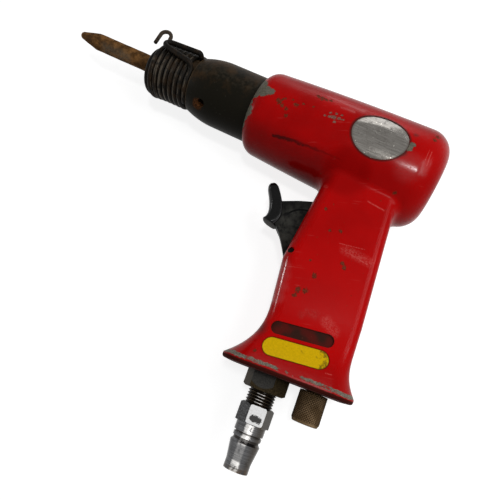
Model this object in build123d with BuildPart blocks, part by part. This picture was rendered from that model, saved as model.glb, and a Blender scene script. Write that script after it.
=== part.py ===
from build123d import *
import math
import os

import numpy as np

# Pneumatic chisel, lying on its right side on a table. +X runs to the rear along the barrel, +Y is up
# when the tool is held, and +Z is the side that faces up. The origin is the middle of the footprint.
# Lengths along the barrel are counted from the front face of the housing: "reach" is ahead of it.
# In the grip, "depth" is counted down the raked grip from the barrel's axis and "back" is square to it.

# Fits
RUNNING_GAP = 0.04          # radial, between a piece that slides or turns and its bore
SEAT_GAP = 0.02             # radial, between a piece that is pressed or screwed in and its bore
LIFT_GAP = 0.2              # between pieces that push each other when the trigger is pulled
CUT_PAST = 1.0              # cutters run this far past the face that they open
STRAIGHT = 1e-9             # two ways this close are one straight line
WAY_STEP = 0.5              # degrees to either side over which a coil's way is measured
GAP_SAMPLES = 4             # points per wire thickness when a coil's gap is measured

# Housing: the body around the barrel
BODY_LENGTH = 100.8
BODY_FRONT_RADIUS = 23.0
BODY_REAR_RADIUS = 26.2
BODY_CROWN = 0.5            # bulge of the side over a straight cone
BODY_FRONT_ROUND = 6.5
BODY_REAR_ROUND = 12.5
FRONT_RIM = 0.7             # flat ring left around the barrel

# Housing: the grip
GRIP_RAKE = 8.0             # degrees
GRIP_ROOT = 12.0            # depth at which the grip starts, inside the body
GRIP_REAR = 86.2
GRIP_REAR_TAPER = 0.035     # the grip's rear runs this much out of line with its axis
GRIP_HALF_WIDTH = 16.0
FRONT_CORNER = 6.5
REAR_CORNER = 4.5
GRIP_BLEND = 5.0            # fillet between grip and body
TRIGGER_FACE = 51.5         # the upright front of the grip beside the trigger, behind the body's front
WAIST_DEPTH = 76.0          # where the upright front ends and the finger rest starts
FINGER_REST = 0.1           # slope of the finger rest towards the rear
FLARE_START = 97.0
REAR_FLARE_START = 110.0
FLARE_END = 126.9
BASE_DEPTH = 129.3
FRONT_FLARE = 15.0
REAR_FLARE = 5.2
CORNER_FLARE = 6.0
FLARE_POWER = 2.5
FLARE_SECTIONS = 6
RIM_ROUND = 1.4

# Barrel
BARREL_RADIUS = 18.0
BARREL_INSERT = 56.0        # length inside the housing
SHOULDER_START = 22.0       # reach at which the shoulder starts to round off
SHOULDER_REACH = 38.0
SHOULDER_RADIUS = 15.2
NOSE_RADIUS = 13.05
NOSE_REACH = 53.0
NOSE_CHAMFER = 0.8
BORE_RADIUS = 9.5
BORE_REACH = 31.0           # front end of the piston's bore
PORT_RADIUS = 2.2
PORT_REACH = 27.0
PORT_ANGLE = 54.0           # degrees below the tool's side
AIRWAY_RADIUS = 1.6
AIRWAY_PITCH_RADIUS = 13.8
AIRWAY_END = 14.0           # reach at which the airway turns into the bore

# Piston
PISTON_LENGTH = 42.0
PISTON_REST = 1.0           # gap behind the piston as stored
PISTON_CHAMFER = 1.2
PISTON_GROOVE = 0.4
PISTON_GROOVE_WIDTH = 1.5
PISTON_GROOVE_INSET = 10.5  # from either end

# Valve stack behind the barrel
FRONT_CASE = 5.0
REAR_CASE = 13.0
CASE_GAP = 0.1              # of the valve cases in the housing's bore, besides the barrel's own
VALVE_POCKET_RADIUS = 11.5
VALVE_POCKET = 2.0          # depth of the pocket in either case
VALVE_THICKNESS = 2.2
VALVE_HOLE_RADIUS = 4.0
VALVE_REST = 0.1
CASE_HOLE_RADIUS = 3.0
CASE_VENTS = 6
CASE_VENT_RADIUS = 1.2
CASE_VENT_PITCH_RADIUS = 7.5
CASE_RECESS_RADIUS = 14.0
CASE_RECESS = 4.0
DOWEL_RADIUS = 1.5
DOWEL_WALL = 0.9            # of the cases outside the dowel
DOWEL_IN_BARREL = 5.0
DOWEL_IN_REAR_CASE = 9.0
CHAMBER_RADIUS = 10.0
CHAMBER_LENGTH = 8.0

# Chisel
SHANK_RADIUS = 5.1
SHANK_END = 26.0            # reach of the struck end
COLLAR_RADIUS = 11.0
COLLAR_LENGTH = 4.0
COLLAR_ROUND = 1.0
COLLAR_REST = 0.3           # gap between collar and nose as stored
CHISEL_RADIUS = 4.75
CHISEL_REACH = 120.4
TAPER_LENGTH = 17.0
TIP_RADIUS = 1.7

# Retainer spring: angles are degrees from +Z towards +Y, growing as the wire winds forward
WIRE = 2.3
COIL_RADIUS = 14.3          # to the middle of the wire
COIL_PITCH = 3.1
COIL_REACH = 39.5           # rear end of the coil
COIL_START = -442.0
COIL_END = 2600.0
COIL_MOUTH_RADIUS = 10.6    # the last turn closes in to hold the chisel's collar
MOUTH_TURN = 360.0
SAG = 1.5                   # the bent front coils hang this far below the barrel's axis
SAG_REACH = 50.0            # reach at which they start to
LOOP_LEAVES = -6.0
LOOP_JOINS = 51.0
LOOP_RADIUS = 17.25
LOOP_MIDDLE = 25.0
LOOP_HALF_TURN = 9.0
LOOP_NEAR_FOOT = 7.0
LOOP_FAR_FOOT = 38.0
LOOP_REAR_REACH = 46.8
LOOP_FRONT_REACH = 57.0
LOOP_TIP_REACH = 60.2
HOOK_HEIGHT = 23.7
HOOK_REACH = 73.5
HOOK_HALF_WIDTH = 3.2
HOOK_LEG = 6.5
HOOK_RISE = 4.0             # of the stretch that leads up to the hook
HOOK_LEAN = 1.2
HOOK_SKEW = 0.6

# Trigger: its outline is counted ahead of its pivot and up from it
PIVOT_DEPTH = 72.5
PIVOT_BACK = 44.2
PIVOT_BOSS = 3.8
TRIGGER_PIN_RADIUS = 1.5
TRIGGER_PIN_RECESS = 3.6
WEB_HALF_WIDTH = 4.2
PAD_HALF_WIDTH = 5.2
PAD_ROUND = 1.0
HORN_ROUND = 2.2
FOOT_ROUND = 1.2
HORN_AHEAD = 28.1
HORN_UP = 27.6
FACE_AHEAD = 21.1           # middle of the finger's hollow
FACE_UP = 18.0
FACE_FOOT_AHEAD = 21.8
FACE_FOOT_UP = 10.7
SPINE_FOOT_AHEAD = 14.2
SPINE_FOOT_UP = 10.7
SPINE_AHEAD = 15.7
SPINE_UP = 20.0
SPINE_TOP_AHEAD = 23.9
SPINE_TOP_UP = 30.3
WEB_FRONT_AHEAD = 16.9      # the web's corners, from the pad over the top and back along the underside
WEB_FRONT_UP = 23.0
WEB_CREST_UP = 30.6
WEB_TOP_UP = 31.0
WEB_TOP_BACK = 6.0          # behind the grip's upright front
WEB_UNDER_AHEAD = 7.5
WEB_UNDER_UP = 4.2
WEB_CHIN_AHEAD = 11.4
WEB_CHIN_UP = 8.6
WEB_LIP_AHEAD = 15.0
WEB_LIP_UP = 12.9
WEB_DISC_RADIUS = 10.2
WEB_DISC_DEPTH = 0.5
WEB_DISC_AHEAD = 2.2
WEB_DISC_UP = 14.6
HEEL_DROP = 3.3             # of the heel's underside below the pivot
HEEL_START = 2.0            # behind the pivot
HEEL_HEIGHT = 10.0
HEEL_LENGTH = 5.0           # past the throttle pin's axis
HEEL_ROOM = 3.2             # under the heel as stored
HEEL_GAP = 3.0              # behind the heel
SLOT_GAP = 0.4              # between the web and the slot's side
SLOT_TOP = 33.0             # of the slot's top over the pivot
SLOT_BACK = 14.0            # of its top behind the grip's upright front
SLOT_BEND = 16.0            # of the corner in its rear over the heel's underside

# Throttle, on the inlet's axis
INLET_BACK = 53.4
THROTTLE_PIN_RADIUS = 2.0
THROTTLE_PIN_DOME = 1.8
THROTTLE_BUSH_RADIUS = 4.2
THROTTLE_BUSH_LENGTH = 8.0
SEAL_SECTION = 0.8          # radius of an O-ring's section
GALLERY_RADIUS = 5.0
GALLERY_LENGTH = 6.5
SEAT_LENGTH = 4.0
SEAT_HOLE_RADIUS = 3.4
VALVE_CHAMBER_RADIUS = 6.8
THROTTLE_HEAD_RADIUS = 5.4
THROTTLE_HEAD = 2.4
THROTTLE_WASHER = 1.2
THROTTLE_NECK_RADIUS = 2.2
THROTTLE_NECK = 2.0         # length of the neck inside the seat
SPIGOT_RADIUS = 3.2
SPIGOT_LENGTH = 3.0
SPRING_WIRE = 0.9
SPRING_RADIUS = 4.5
SPRING_TURNS = 4

# Air inlet
BUSH_HEX = 18.0             # across flats
BUSH_TURN = 8.0             # degrees from a flat that faces the tool's left side
BUSH_HEX_LENGTH = 7.9
BUSH_RADIUS = 8.0
BUSH_INSERT = 15.0
BUSH_HOLE_RADIUS = 4.6
BUSH_MOUTH_RADIUS = 3.6     # the lip that the throttle spring stands on
BUSH_LIP = 1.7
GASKET = 1.0
GASKET_WIDTH = 1.0
SCREEN_WALL = 0.5
SCREEN_LENGTH = 9.0
SCREEN_ROWS = 2
SCREEN_HOLES = 6
SCREEN_HOLE_RADIUS = 0.8
THREAD_RADIUS = 6.58        # quarter-inch pipe thread
THREAD_ROOT_RADIUS = 5.95
THREAD_INSERT = 11.2
THREAD_SHOWN = 6.7
PLUG_HEX = 14.0             # across flats
PLUG_TURN = -9.0            # degrees from a flat that faces the tool's left side
PLUG_HEX_LENGTH = 8.7
HEX_CHAMFER = 30.0          # degrees, of the cone that takes off a hex's corners
PLUG_COLLAR_RADIUS = 6.9
PLUG_COLLAR_LENGTH = 3.9
PLUG_GROOVE_RADIUS = 6.0
PLUG_GROOVE = 0.9
PLUG_RING_RADIUS = 6.6
PLUG_RING = 1.5
PLUG_NECK_RADIUS = 6.0
PLUG_NECK = 1.0
PLUG_RIDGE_RADIUS = 7.0
PLUG_RIDGE = 1.2
PLUG_TAPER = 8.0
PLUG_NOSE_RADIUS = 5.8
PLUG_NOSE = 4.2
PLUG_HOLE_RADIUS = 3.6

# Air regulator
REGULATOR_BACK = 75.6
KNOB_RADIUS = 6.2
KNOB_LENGTH = 14.4
KNOB_GAP = 0.4
KNOB_ROUND = 0.8
STEM_RADIUS = 4.0
STEM_LEAD = 6.0             # of the stem above its port
STEM_PORT_RADIUS = 2.4
STEM_SEAL_DEPTH = 119.0
STEM_SEAL_GROOVE = 1.2
CLIP_DEPTH = 110.0
CLIP_THICKNESS = 0.8
CLIP_INNER_RADIUS = 3.2
CLIP_OUTER_RADIUS = 4.8
CLIP_GAP_DEGREES = 60.0

# Badge and label
BADGE_BEHIND_FRONT = 66.8
BADGE_RAISED = 0.5
BADGE_LENGTH = 28.0
BADGE_HEIGHT = 22.5
BADGE_RECESS = 0.9
BADGE_SUNK = 0.25
PLATE_EDGE_GAP = 0.25
LABEL_DEPTH = 117.0
LABEL_BACK = 61.8
LABEL_LENGTH = 30.0
LABEL_HEIGHT = 9.0
LABEL_TILT = 5.0            # degrees
LABEL_RECESS = 0.6
LABEL_SUNK = 0.1
PANEL_DEPTH = 108.0
PANEL_BACK = 62.0
PANEL_LENGTH = 28.5
PANEL_HEIGHT = 6.0
PANEL_RECESS = 0.9

os.makedirs("parts", exist_ok=True)

# Where the tool lies: the box around it is centred on the origin, and its lowest side is on the table
rake = math.radians(GRIP_RAKE)
down = Vector(math.sin(rake), -math.cos(rake), 0)
back = Vector(math.cos(rake), math.sin(rake), 0)
up = Vector(0, 0, 1)
bush_end = BASE_DEPTH + BUSH_HEX_LENGTH
plug_hex_depth = bush_end + THREAD_SHOWN
plug_collar_depth = plug_hex_depth + PLUG_HEX_LENGTH
plug_end = (plug_collar_depth + PLUG_COLLAR_LENGTH + PLUG_GROOVE + PLUG_RING + PLUG_NECK + PLUG_RIDGE
            + PLUG_TAPER + PLUG_NOSE)
rear_x = (down * FLARE_END + back * (GRIP_REAR + REAR_FLARE)).X
lowest_y = (down * plug_end + back * (INLET_BACK - PLUG_NOSE_RADIUS)).Y
front = Vector((CHISEL_REACH - rear_x) / 2, -(BODY_REAR_RADIUS + lowest_y) / 2, BODY_REAR_RADIUS)

side = Plane(front, x_dir=(1, 0, 0), z_dir=up)
barrel_axis = Axis(front, (1, 0, 0))
inlet_side = Plane(front + back * INLET_BACK, x_dir=down, z_dir=up)
inlet_axis = Axis(inlet_side.origin, down)
regulator_side = Plane(front + back * REGULATOR_BACK, x_dir=down, z_dir=up)
regulator_axis = Axis(regulator_side.origin, down)


def across_barrel(behind):
    """Plane square to the barrel, this far behind the housing's front face."""
    return Plane(front + Vector(behind, 0, 0), x_dir=(0, 1, 0), z_dir=(1, 0, 0))


def across_grip(depth, set_back=0):
    """Plane square to the grip at this depth, with its middle set back from the barrel's front face."""
    return Plane(front + down * depth + back * set_back, x_dir=back, z_dir=down)


def in_grip(depth, set_back):
    """A point of the grip's middle plane, as a point of the side plane."""
    point = down * depth + back * set_back
    return (point.X, point.Y)


def from_pivot(ahead, height):
    """A point of the trigger's outline, as a point of the side plane."""
    return (pivot[0] - ahead, pivot[1] + height)


def flare(depth, start):
    """Share of the base's flare that is reached at this depth."""
    return max((depth - start) / (FLARE_END - start), 0) ** FLARE_POWER


def grip_section(depth, inset):
    """Rounded rectangle across the grip, drawn in from its surface."""
    spread = flare(depth, FLARE_START)
    upright = (TRIGGER_FACE - min(depth, WAIST_DEPTH) * down.X) / back.X
    rest = FINGER_REST * max(depth - WAIST_DEPTH, 0)
    fore = upright + rest - FRONT_FLARE * spread + inset
    straight = GRIP_REAR - GRIP_REAR_TAPER * max(FLARE_START - depth, 0)
    aft = straight + REAR_FLARE * flare(depth, REAR_FLARE_START) - inset
    half_width = GRIP_HALF_WIDTH + (BODY_REAR_RADIUS - GRIP_HALF_WIDTH) * spread - inset
    with BuildSketch(across_grip(depth)) as outline:
        with Locations(((fore + aft) / 2, 0)):
            Rectangle(aft - fore, 2 * half_width)
        fillet(outline.vertices().sort_by(Axis.X)[:2], FRONT_CORNER + CORNER_FLARE * spread - inset)
        fillet(outline.vertices().sort_by(Axis.X)[-2:], REAR_CORNER + CORNER_FLARE * spread - inset)
    return outline.sketch.face()


def flare_sections(inset):
    """Evenly spaced sections from the straight grip to the rim of its base."""
    step = (FLARE_END - FLARE_START) / (FLARE_SECTIONS - 1)
    return [grip_section(FLARE_START + step * number, inset) for number in range(FLARE_SECTIONS)]


def body_outline(inset):
    """Half outline of the body, drawn in from its surface, for a revolve about the barrel's axis."""
    tail_start = BODY_LENGTH - BODY_REAR_ROUND
    middle = (BODY_FRONT_ROUND + tail_start) / 2
    bulge = (BODY_FRONT_RADIUS + BODY_REAR_RADIUS) / 2 + BODY_CROWN - inset
    with BuildSketch(side) as outline:
        with BuildLine():
            flank = ThreePointArc(
                (BODY_FRONT_ROUND, BODY_FRONT_RADIUS - inset),
                (middle, bulge),
                (tail_start, BODY_REAR_RADIUS - inset),
            )
            mouth = TangentArc(flank @ 0, (inset, BARREL_RADIUS + FRONT_RIM), tangent=-(flank % 0))
            tail = TangentArc(
                flank @ 1, (BODY_LENGTH - inset, BODY_REAR_RADIUS - BODY_REAR_ROUND), tangent=flank % 1
            )
            Polyline(mouth @ 1, (inset, 0), (BODY_LENGTH - inset, 0), tail @ 1)
        make_face()
    return outline.sketch


def biarc_joint(start, start_way, end, end_way):
    """Where two arcs meet that leave start along its way and reach end along its own, and their way."""
    chord = end - start
    square = 2 * (1 - start_way.dot(end_way))
    linear = 2 * chord.dot(start_way + end_way)
    constant = -chord.dot(chord)
    if square < STRAIGHT:
        reach = -constant / linear
    else:
        reach = (math.sqrt(linear**2 - 4 * square * constant) - linear) / (2 * square)
    first = start + start_way * reach
    second = end - end_way * reach
    return (first + second) / 2, (second - first).normalized()


def draw_wire(nodes):
    """Lines and pairs of arcs through nodes, each a point and the way that the wire passes it."""
    for (start, start_way), (end, end_way) in zip(nodes, nodes[1:]):
        if (end - start).normalized().dot(start_way + end_way) > 2 - STRAIGHT:
            Line(start, end)
            continue
        joint, joint_way = biarc_joint(start, start_way, end, end_way)
        TangentArc(start, joint, tangent=start_way)
        TangentArc(joint, end, tangent=joint_way)


def least_gap(path, wire):
    """Least gap between stretches of a wire that are more than one wire's half turn apart along it."""
    count = int(path.length / wire * GAP_SAMPLES)
    points = np.array([tuple(path @ (number / count)) for number in range(count + 1)])
    apart = np.linalg.norm(points[:, None] - points[None, :], axis=2)
    along = np.abs(np.subtract.outer(np.arange(count + 1), np.arange(count + 1))) * path.length / count
    return apart[along > math.pi * wire].min() - wire


# Housing
with BuildPart() as grip_core:
    loft(flare_sections(LABEL_RECESS))

with BuildPart() as panel_core:
    loft(flare_sections(PANEL_RECESS))

with BuildPart() as body_core:
    add(body_outline(BADGE_RECESS))
    revolve(axis=barrel_axis)

bore_end = BARREL_INSERT + FRONT_CASE + REAR_CASE
case_radius = BARREL_RADIUS - CASE_GAP
dowel_pitch_radius = case_radius - DOWEL_RADIUS - DOWEL_WALL
label_plane = Plane(
    front + down * LABEL_DEPTH + back * LABEL_BACK, x_dir=back.rotate(Axis.Z, LABEL_TILT), z_dir=up
)
panel_plane = Plane(
    front + down * PANEL_DEPTH + back * PANEL_BACK, x_dir=back.rotate(Axis.Z, LABEL_TILT), z_dir=up
)
badge_plane = Plane(front + Vector(BADGE_BEHIND_FRONT, BADGE_RAISED, 0), x_dir=(1, 0, 0), z_dir=up)

with BuildPart() as badge_cutter:
    with BuildSketch(badge_plane):
        Ellipse(BADGE_LENGTH / 2, BADGE_HEIGHT / 2)
    extrude(amount=2 * BODY_REAR_RADIUS)
    add(body_core.part, mode=Mode.SUBTRACT)

with BuildPart() as label_cutter:
    with BuildSketch(label_plane):
        SlotOverall(LABEL_LENGTH, LABEL_HEIGHT)
    extrude(amount=2 * BODY_REAR_RADIUS)
    add(grip_core.part, mode=Mode.SUBTRACT)

with BuildPart() as panel_cutter:
    with BuildSketch(panel_plane):
        SlotOverall(PANEL_LENGTH, PANEL_HEIGHT)
    extrude(amount=2 * BODY_REAR_RADIUS)
    add(panel_core.part, mode=Mode.SUBTRACT)

pivot = in_grip(PIVOT_DEPTH, PIVOT_BACK)
slot_half_width = WEB_HALF_WIDTH + SLOT_GAP
heel_depth = PIVOT_DEPTH + HEEL_DROP
heel_back = INLET_BACK + HEEL_LENGTH
slot_floor = heel_depth + HEEL_ROOM
pin_top = heel_depth + LIFT_GAP
bush_foot = slot_floor + THROTTLE_BUSH_LENGTH
stem_port_depth = bush_foot + GALLERY_LENGTH / 2
stem_top = stem_port_depth - STEM_LEAD
seat_depth = bush_foot + GALLERY_LENGTH
seat_face = seat_depth + SEAT_LENGTH
chamber_end = BASE_DEPTH - BUSH_INSERT - GASKET

with BuildPart() as housing:
    add(body_outline(0))
    revolve(axis=barrel_axis)
    loft([grip_section(depth, 0) for depth in (GRIP_ROOT, WAIST_DEPTH, FLARE_START)], ruled=True)
    seam = housing.edges(Select.NEW).filter_by(lambda edge: edge.center().Y > front.Y - WAIST_DEPTH / 2)
    fillet(seam, GRIP_BLEND)
    loft(flare_sections(0))
    extrude(grip_section(FLARE_END, 0), amount=BASE_DEPTH - FLARE_END, dir=down)
    rim = housing.faces().sort_by(Axis(front, down))[-1]
    fillet(rim.edges(), RIM_ROUND)
    # bore for barrel and valve stack, with the air chamber behind it
    with BuildSketch(across_barrel(0)):
        Circle(BARREL_RADIUS + SEAT_GAP)
    extrude(amount=bore_end, mode=Mode.SUBTRACT)
    with BuildSketch(across_barrel(bore_end)):
        Circle(CHAMBER_RADIUS)
    extrude(amount=CHAMBER_LENGTH, mode=Mode.SUBTRACT)
    # slot for the trigger, open at the front
    with BuildSketch(side):
        with BuildLine():
            Polyline(
                (0, pivot[1] + SLOT_TOP),
                (TRIGGER_FACE + SLOT_BACK, pivot[1] + SLOT_TOP),
                in_grip(heel_depth - SLOT_BEND, heel_back + HEEL_GAP),
                in_grip(slot_floor, heel_back + HEEL_GAP),
                in_grip(slot_floor, 0),
                close=True,
            )
        make_face()
    extrude(amount=slot_half_width, both=True, mode=Mode.SUBTRACT)
    with BuildSketch(side):
        with Locations(pivot):
            Circle(TRIGGER_PIN_RADIUS + SEAT_GAP)
    extrude(amount=2 * GRIP_HALF_WIDTH, both=True, mode=Mode.SUBTRACT)
    # stepped bore for throttle and inlet
    with BuildSketch(inlet_side):
        with BuildLine():
            Polyline(
                (slot_floor - CUT_PAST, 0),
                (slot_floor - CUT_PAST, THROTTLE_BUSH_RADIUS + SEAT_GAP),
                (bush_foot, THROTTLE_BUSH_RADIUS + SEAT_GAP),
                (bush_foot, GALLERY_RADIUS),
                (seat_depth, GALLERY_RADIUS),
                (seat_depth, VALVE_CHAMBER_RADIUS),
                (chamber_end, VALVE_CHAMBER_RADIUS),
                (chamber_end, BUSH_RADIUS + SEAT_GAP),
                (BASE_DEPTH + CUT_PAST, BUSH_RADIUS + SEAT_GAP),
                (BASE_DEPTH + CUT_PAST, 0),
                close=True,
            )
        make_face()
    revolve(axis=inlet_axis, mode=Mode.SUBTRACT)
    # bore for the regulator, its clip's groove, and the airway on to the chamber
    with BuildSketch(across_grip(0, REGULATOR_BACK)):
        Circle(STEM_PORT_RADIUS)
    extrude(amount=stem_top, mode=Mode.SUBTRACT)
    with BuildSketch(across_grip(stem_top, REGULATOR_BACK)):
        Circle(STEM_RADIUS + RUNNING_GAP)
    extrude(amount=BASE_DEPTH - stem_top, mode=Mode.SUBTRACT)
    with BuildSketch(across_grip(CLIP_DEPTH, REGULATOR_BACK)):
        Circle(CLIP_OUTER_RADIUS + SEAT_GAP)
    extrude(amount=CLIP_THICKNESS, mode=Mode.SUBTRACT)
    with BuildSketch(Plane(inlet_side.origin + down * stem_port_depth, x_dir=down, z_dir=back)):
        Circle(STEM_PORT_RADIUS)
    extrude(amount=REGULATOR_BACK - INLET_BACK, mode=Mode.SUBTRACT)
    # recesses of badge, label and panel
    add(badge_cutter.part, mode=Mode.SUBTRACT)
    add(label_cutter.part, mode=Mode.SUBTRACT)
    add(panel_cutter.part, mode=Mode.SUBTRACT)
housing.part.label = "housing"
export_step(housing.part, "parts/housing.step")

# Barrel
with BuildPart() as barrel:
    with BuildSketch(side):
        with BuildLine():
            shoulder = TangentArc(
                (-SHOULDER_START, BARREL_RADIUS), (-SHOULDER_REACH, SHOULDER_RADIUS), tangent=(-1, 0)
            )
            Polyline(
                shoulder @ 1,
                (-SHOULDER_REACH, NOSE_RADIUS),
                (-NOSE_REACH + NOSE_CHAMFER, NOSE_RADIUS),
                (-NOSE_REACH, NOSE_RADIUS - NOSE_CHAMFER),
                (-NOSE_REACH, SHANK_RADIUS + RUNNING_GAP),
                (-BORE_REACH, SHANK_RADIUS + RUNNING_GAP),
                (-BORE_REACH, BORE_RADIUS),
                (BARREL_INSERT, BORE_RADIUS),
                (BARREL_INSERT, BARREL_RADIUS),
                shoulder @ 0,
            )
        make_face()
    revolve(axis=barrel_axis)
    # exhaust ports, one on either side
    for turn in (PORT_ANGLE, 180 - PORT_ANGLE):
        outward = Vector(0, -math.sin(math.radians(turn)), math.cos(math.radians(turn)))
        with BuildSketch(Plane(front + Vector(-PORT_REACH, 0, 0), x_dir=(1, 0, 0), z_dir=outward)):
            Circle(PORT_RADIUS)
        extrude(amount=BARREL_RADIUS, mode=Mode.SUBTRACT)
    # airways from the valve to the front of the bore
    with BuildSketch(across_barrel(BARREL_INSERT)):
        with PolarLocations(AIRWAY_PITCH_RADIUS, 2, start_angle=90):
            Circle(AIRWAY_RADIUS)
    extrude(amount=-(BARREL_INSERT + AIRWAY_END), mode=Mode.SUBTRACT)
    with BuildSketch(Plane(front + Vector(AIRWAY_RADIUS - AIRWAY_END, 0, 0), x_dir=(1, 0, 0), z_dir=up)):
        Circle(AIRWAY_RADIUS)
    extrude(amount=AIRWAY_PITCH_RADIUS, both=True, mode=Mode.SUBTRACT)
    with BuildSketch(across_barrel(BARREL_INSERT)):
        with Locations((dowel_pitch_radius, 0)):
            Circle(DOWEL_RADIUS + SEAT_GAP)
    extrude(amount=-DOWEL_IN_BARREL, mode=Mode.SUBTRACT)
barrel.part.label = "barrel"
export_step(barrel.part, "parts/barrel.step")

# Piston, stored at the rear of its stroke
piston_rear = BARREL_INSERT - PISTON_REST
with BuildPart() as piston:
    with BuildSketch(across_barrel(piston_rear)):
        Circle(BORE_RADIUS - RUNNING_GAP)
    extrude(amount=-PISTON_LENGTH)
    chamfer(piston.edges().filter_by(GeomType.CIRCLE), PISTON_CHAMFER)
    for inset in (PISTON_GROOVE_INSET, PISTON_LENGTH - PISTON_GROOVE_INSET):
        with BuildSketch(across_barrel(piston_rear - inset)):
            Circle(BORE_RADIUS)
            Circle(BORE_RADIUS - RUNNING_GAP - PISTON_GROOVE, mode=Mode.SUBTRACT)
        extrude(amount=PISTON_GROOVE_WIDTH / 2, both=True, mode=Mode.SUBTRACT)
piston.part.label = "piston"
export_step(piston.part, "parts/piston.step")

# Valve stack: a plate that shuttles between two cases, lined up by a dowel
rear_case_front = BARREL_INSERT + FRONT_CASE
with BuildPart() as front_valve_case:
    with BuildSketch(across_barrel(BARREL_INSERT)):
        Circle(case_radius)
        Circle(CASE_HOLE_RADIUS, mode=Mode.SUBTRACT)
        with PolarLocations(CASE_VENT_PITCH_RADIUS, CASE_VENTS):
            Circle(CASE_VENT_RADIUS, mode=Mode.SUBTRACT)
        with PolarLocations(AIRWAY_PITCH_RADIUS, 2, start_angle=90):
            Circle(AIRWAY_RADIUS, mode=Mode.SUBTRACT)
        with Locations((dowel_pitch_radius, 0)):
            Circle(DOWEL_RADIUS + SEAT_GAP, mode=Mode.SUBTRACT)
    extrude(amount=FRONT_CASE)
    with BuildSketch(across_barrel(rear_case_front)):
        Circle(VALVE_POCKET_RADIUS)
    extrude(amount=-VALVE_POCKET, mode=Mode.SUBTRACT)
front_valve_case.part.label = "front_valve_case"
export_step(front_valve_case.part, "parts/front_valve_case.step")

with BuildPart() as rear_valve_case:
    with BuildSketch(across_barrel(rear_case_front)):
        Circle(case_radius)
        Circle(CASE_HOLE_RADIUS, mode=Mode.SUBTRACT)
        with PolarLocations(CASE_VENT_PITCH_RADIUS, CASE_VENTS):
            Circle(CASE_VENT_RADIUS, mode=Mode.SUBTRACT)
    extrude(amount=REAR_CASE)
    with BuildSketch(across_barrel(rear_case_front)):
        Circle(VALVE_POCKET_RADIUS)
    extrude(amount=VALVE_POCKET, mode=Mode.SUBTRACT)
    with BuildSketch(across_barrel(bore_end)):
        Circle(CASE_RECESS_RADIUS)
    extrude(amount=-CASE_RECESS, mode=Mode.SUBTRACT)
    with BuildSketch(across_barrel(rear_case_front)):
        with Locations((dowel_pitch_radius, 0)):
            Circle(DOWEL_RADIUS + SEAT_GAP)
    extrude(amount=DOWEL_IN_REAR_CASE, mode=Mode.SUBTRACT)
rear_valve_case.part.label = "rear_valve_case"
export_step(rear_valve_case.part, "parts/rear_valve_case.step")

with BuildPart() as cycle_valve:
    with BuildSketch(across_barrel(rear_case_front - VALVE_POCKET + VALVE_REST)):
        Circle(VALVE_POCKET_RADIUS - RUNNING_GAP)
        Circle(VALVE_HOLE_RADIUS, mode=Mode.SUBTRACT)
    extrude(amount=VALVE_THICKNESS)
cycle_valve.part.label = "cycle_valve"
export_step(cycle_valve.part, "parts/cycle_valve.step")

with BuildPart() as valve_dowel:
    with BuildSketch(across_barrel(BARREL_INSERT - DOWEL_IN_BARREL)):
        with Locations((dowel_pitch_radius, 0)):
            Circle(DOWEL_RADIUS)
    extrude(amount=DOWEL_IN_BARREL + FRONT_CASE + DOWEL_IN_REAR_CASE)
valve_dowel.part.label = "valve_dowel"
export_step(valve_dowel.part, "parts/valve_dowel.step")

# Chisel, pushed home with its collar by the nose
collar_rear = NOSE_REACH + COLLAR_REST
collar_front = collar_rear + COLLAR_LENGTH
with BuildPart() as chisel:
    with BuildSketch(side):
        with BuildLine():
            tip = RadiusArc(
                (-CHISEL_REACH, 0), (-CHISEL_REACH + TIP_RADIUS, TIP_RADIUS), TIP_RADIUS
            )
            Polyline(
                tip @ 1,
                (-CHISEL_REACH + TAPER_LENGTH, CHISEL_RADIUS),
                (-collar_front, CHISEL_RADIUS),
                (-collar_front, COLLAR_RADIUS - COLLAR_ROUND),
                (-collar_front + COLLAR_ROUND, COLLAR_RADIUS),
                (-collar_rear - COLLAR_ROUND, COLLAR_RADIUS),
                (-collar_rear, COLLAR_RADIUS - COLLAR_ROUND),
                (-collar_rear, SHANK_RADIUS),
                (-SHANK_END - COLLAR_ROUND, SHANK_RADIUS),
                (-SHANK_END, SHANK_RADIUS - COLLAR_ROUND),
                (-SHANK_END, 0),
                tip @ 0,
            )
        make_face()
    revolve(axis=barrel_axis)
chisel.part.label = "chisel"
export_step(chisel.part, "parts/chisel.step")


# Retainer spring: one wire, wound from the barrel's shoulder to the chisel
def around_barrel(reach, radius, angle):
    """Point this far ahead of the housing's front face, at this radius and angle about the barrel."""
    turned = math.radians(angle)
    return front + Vector(-reach, radius * math.sin(turned), radius * math.cos(turned))


def coil_point(angle):
    """Point of the coil: a steady pitch that closes in over its last turn and hangs down at the front."""
    closing = max((angle - COIL_END + MOUTH_TURN) / MOUTH_TURN, 0) ** 3
    radius = COIL_RADIUS + (COIL_MOUTH_RADIUS - COIL_RADIUS) * closing
    reach = COIL_REACH + COIL_PITCH * (angle - COIL_START) / 360
    hang = SAG * max((reach - SAG_REACH) / (coil_front - SAG_REACH), 0) ** 2
    return around_barrel(reach, radius, angle) - Vector(0, hang, 0)


def coil_node(angle):
    """Coil point and the way that the wire passes it."""
    return coil_point(angle), (coil_point(angle + WAY_STEP) - coil_point(angle - WAY_STEP)).normalized()


def coil_nodes(start, end):
    """Nodes about a quarter turn apart."""
    quarters = round((end - start) / 90)
    return [coil_node(start + (end - start) * number / quarters) for number in range(quarters + 1)]


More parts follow.
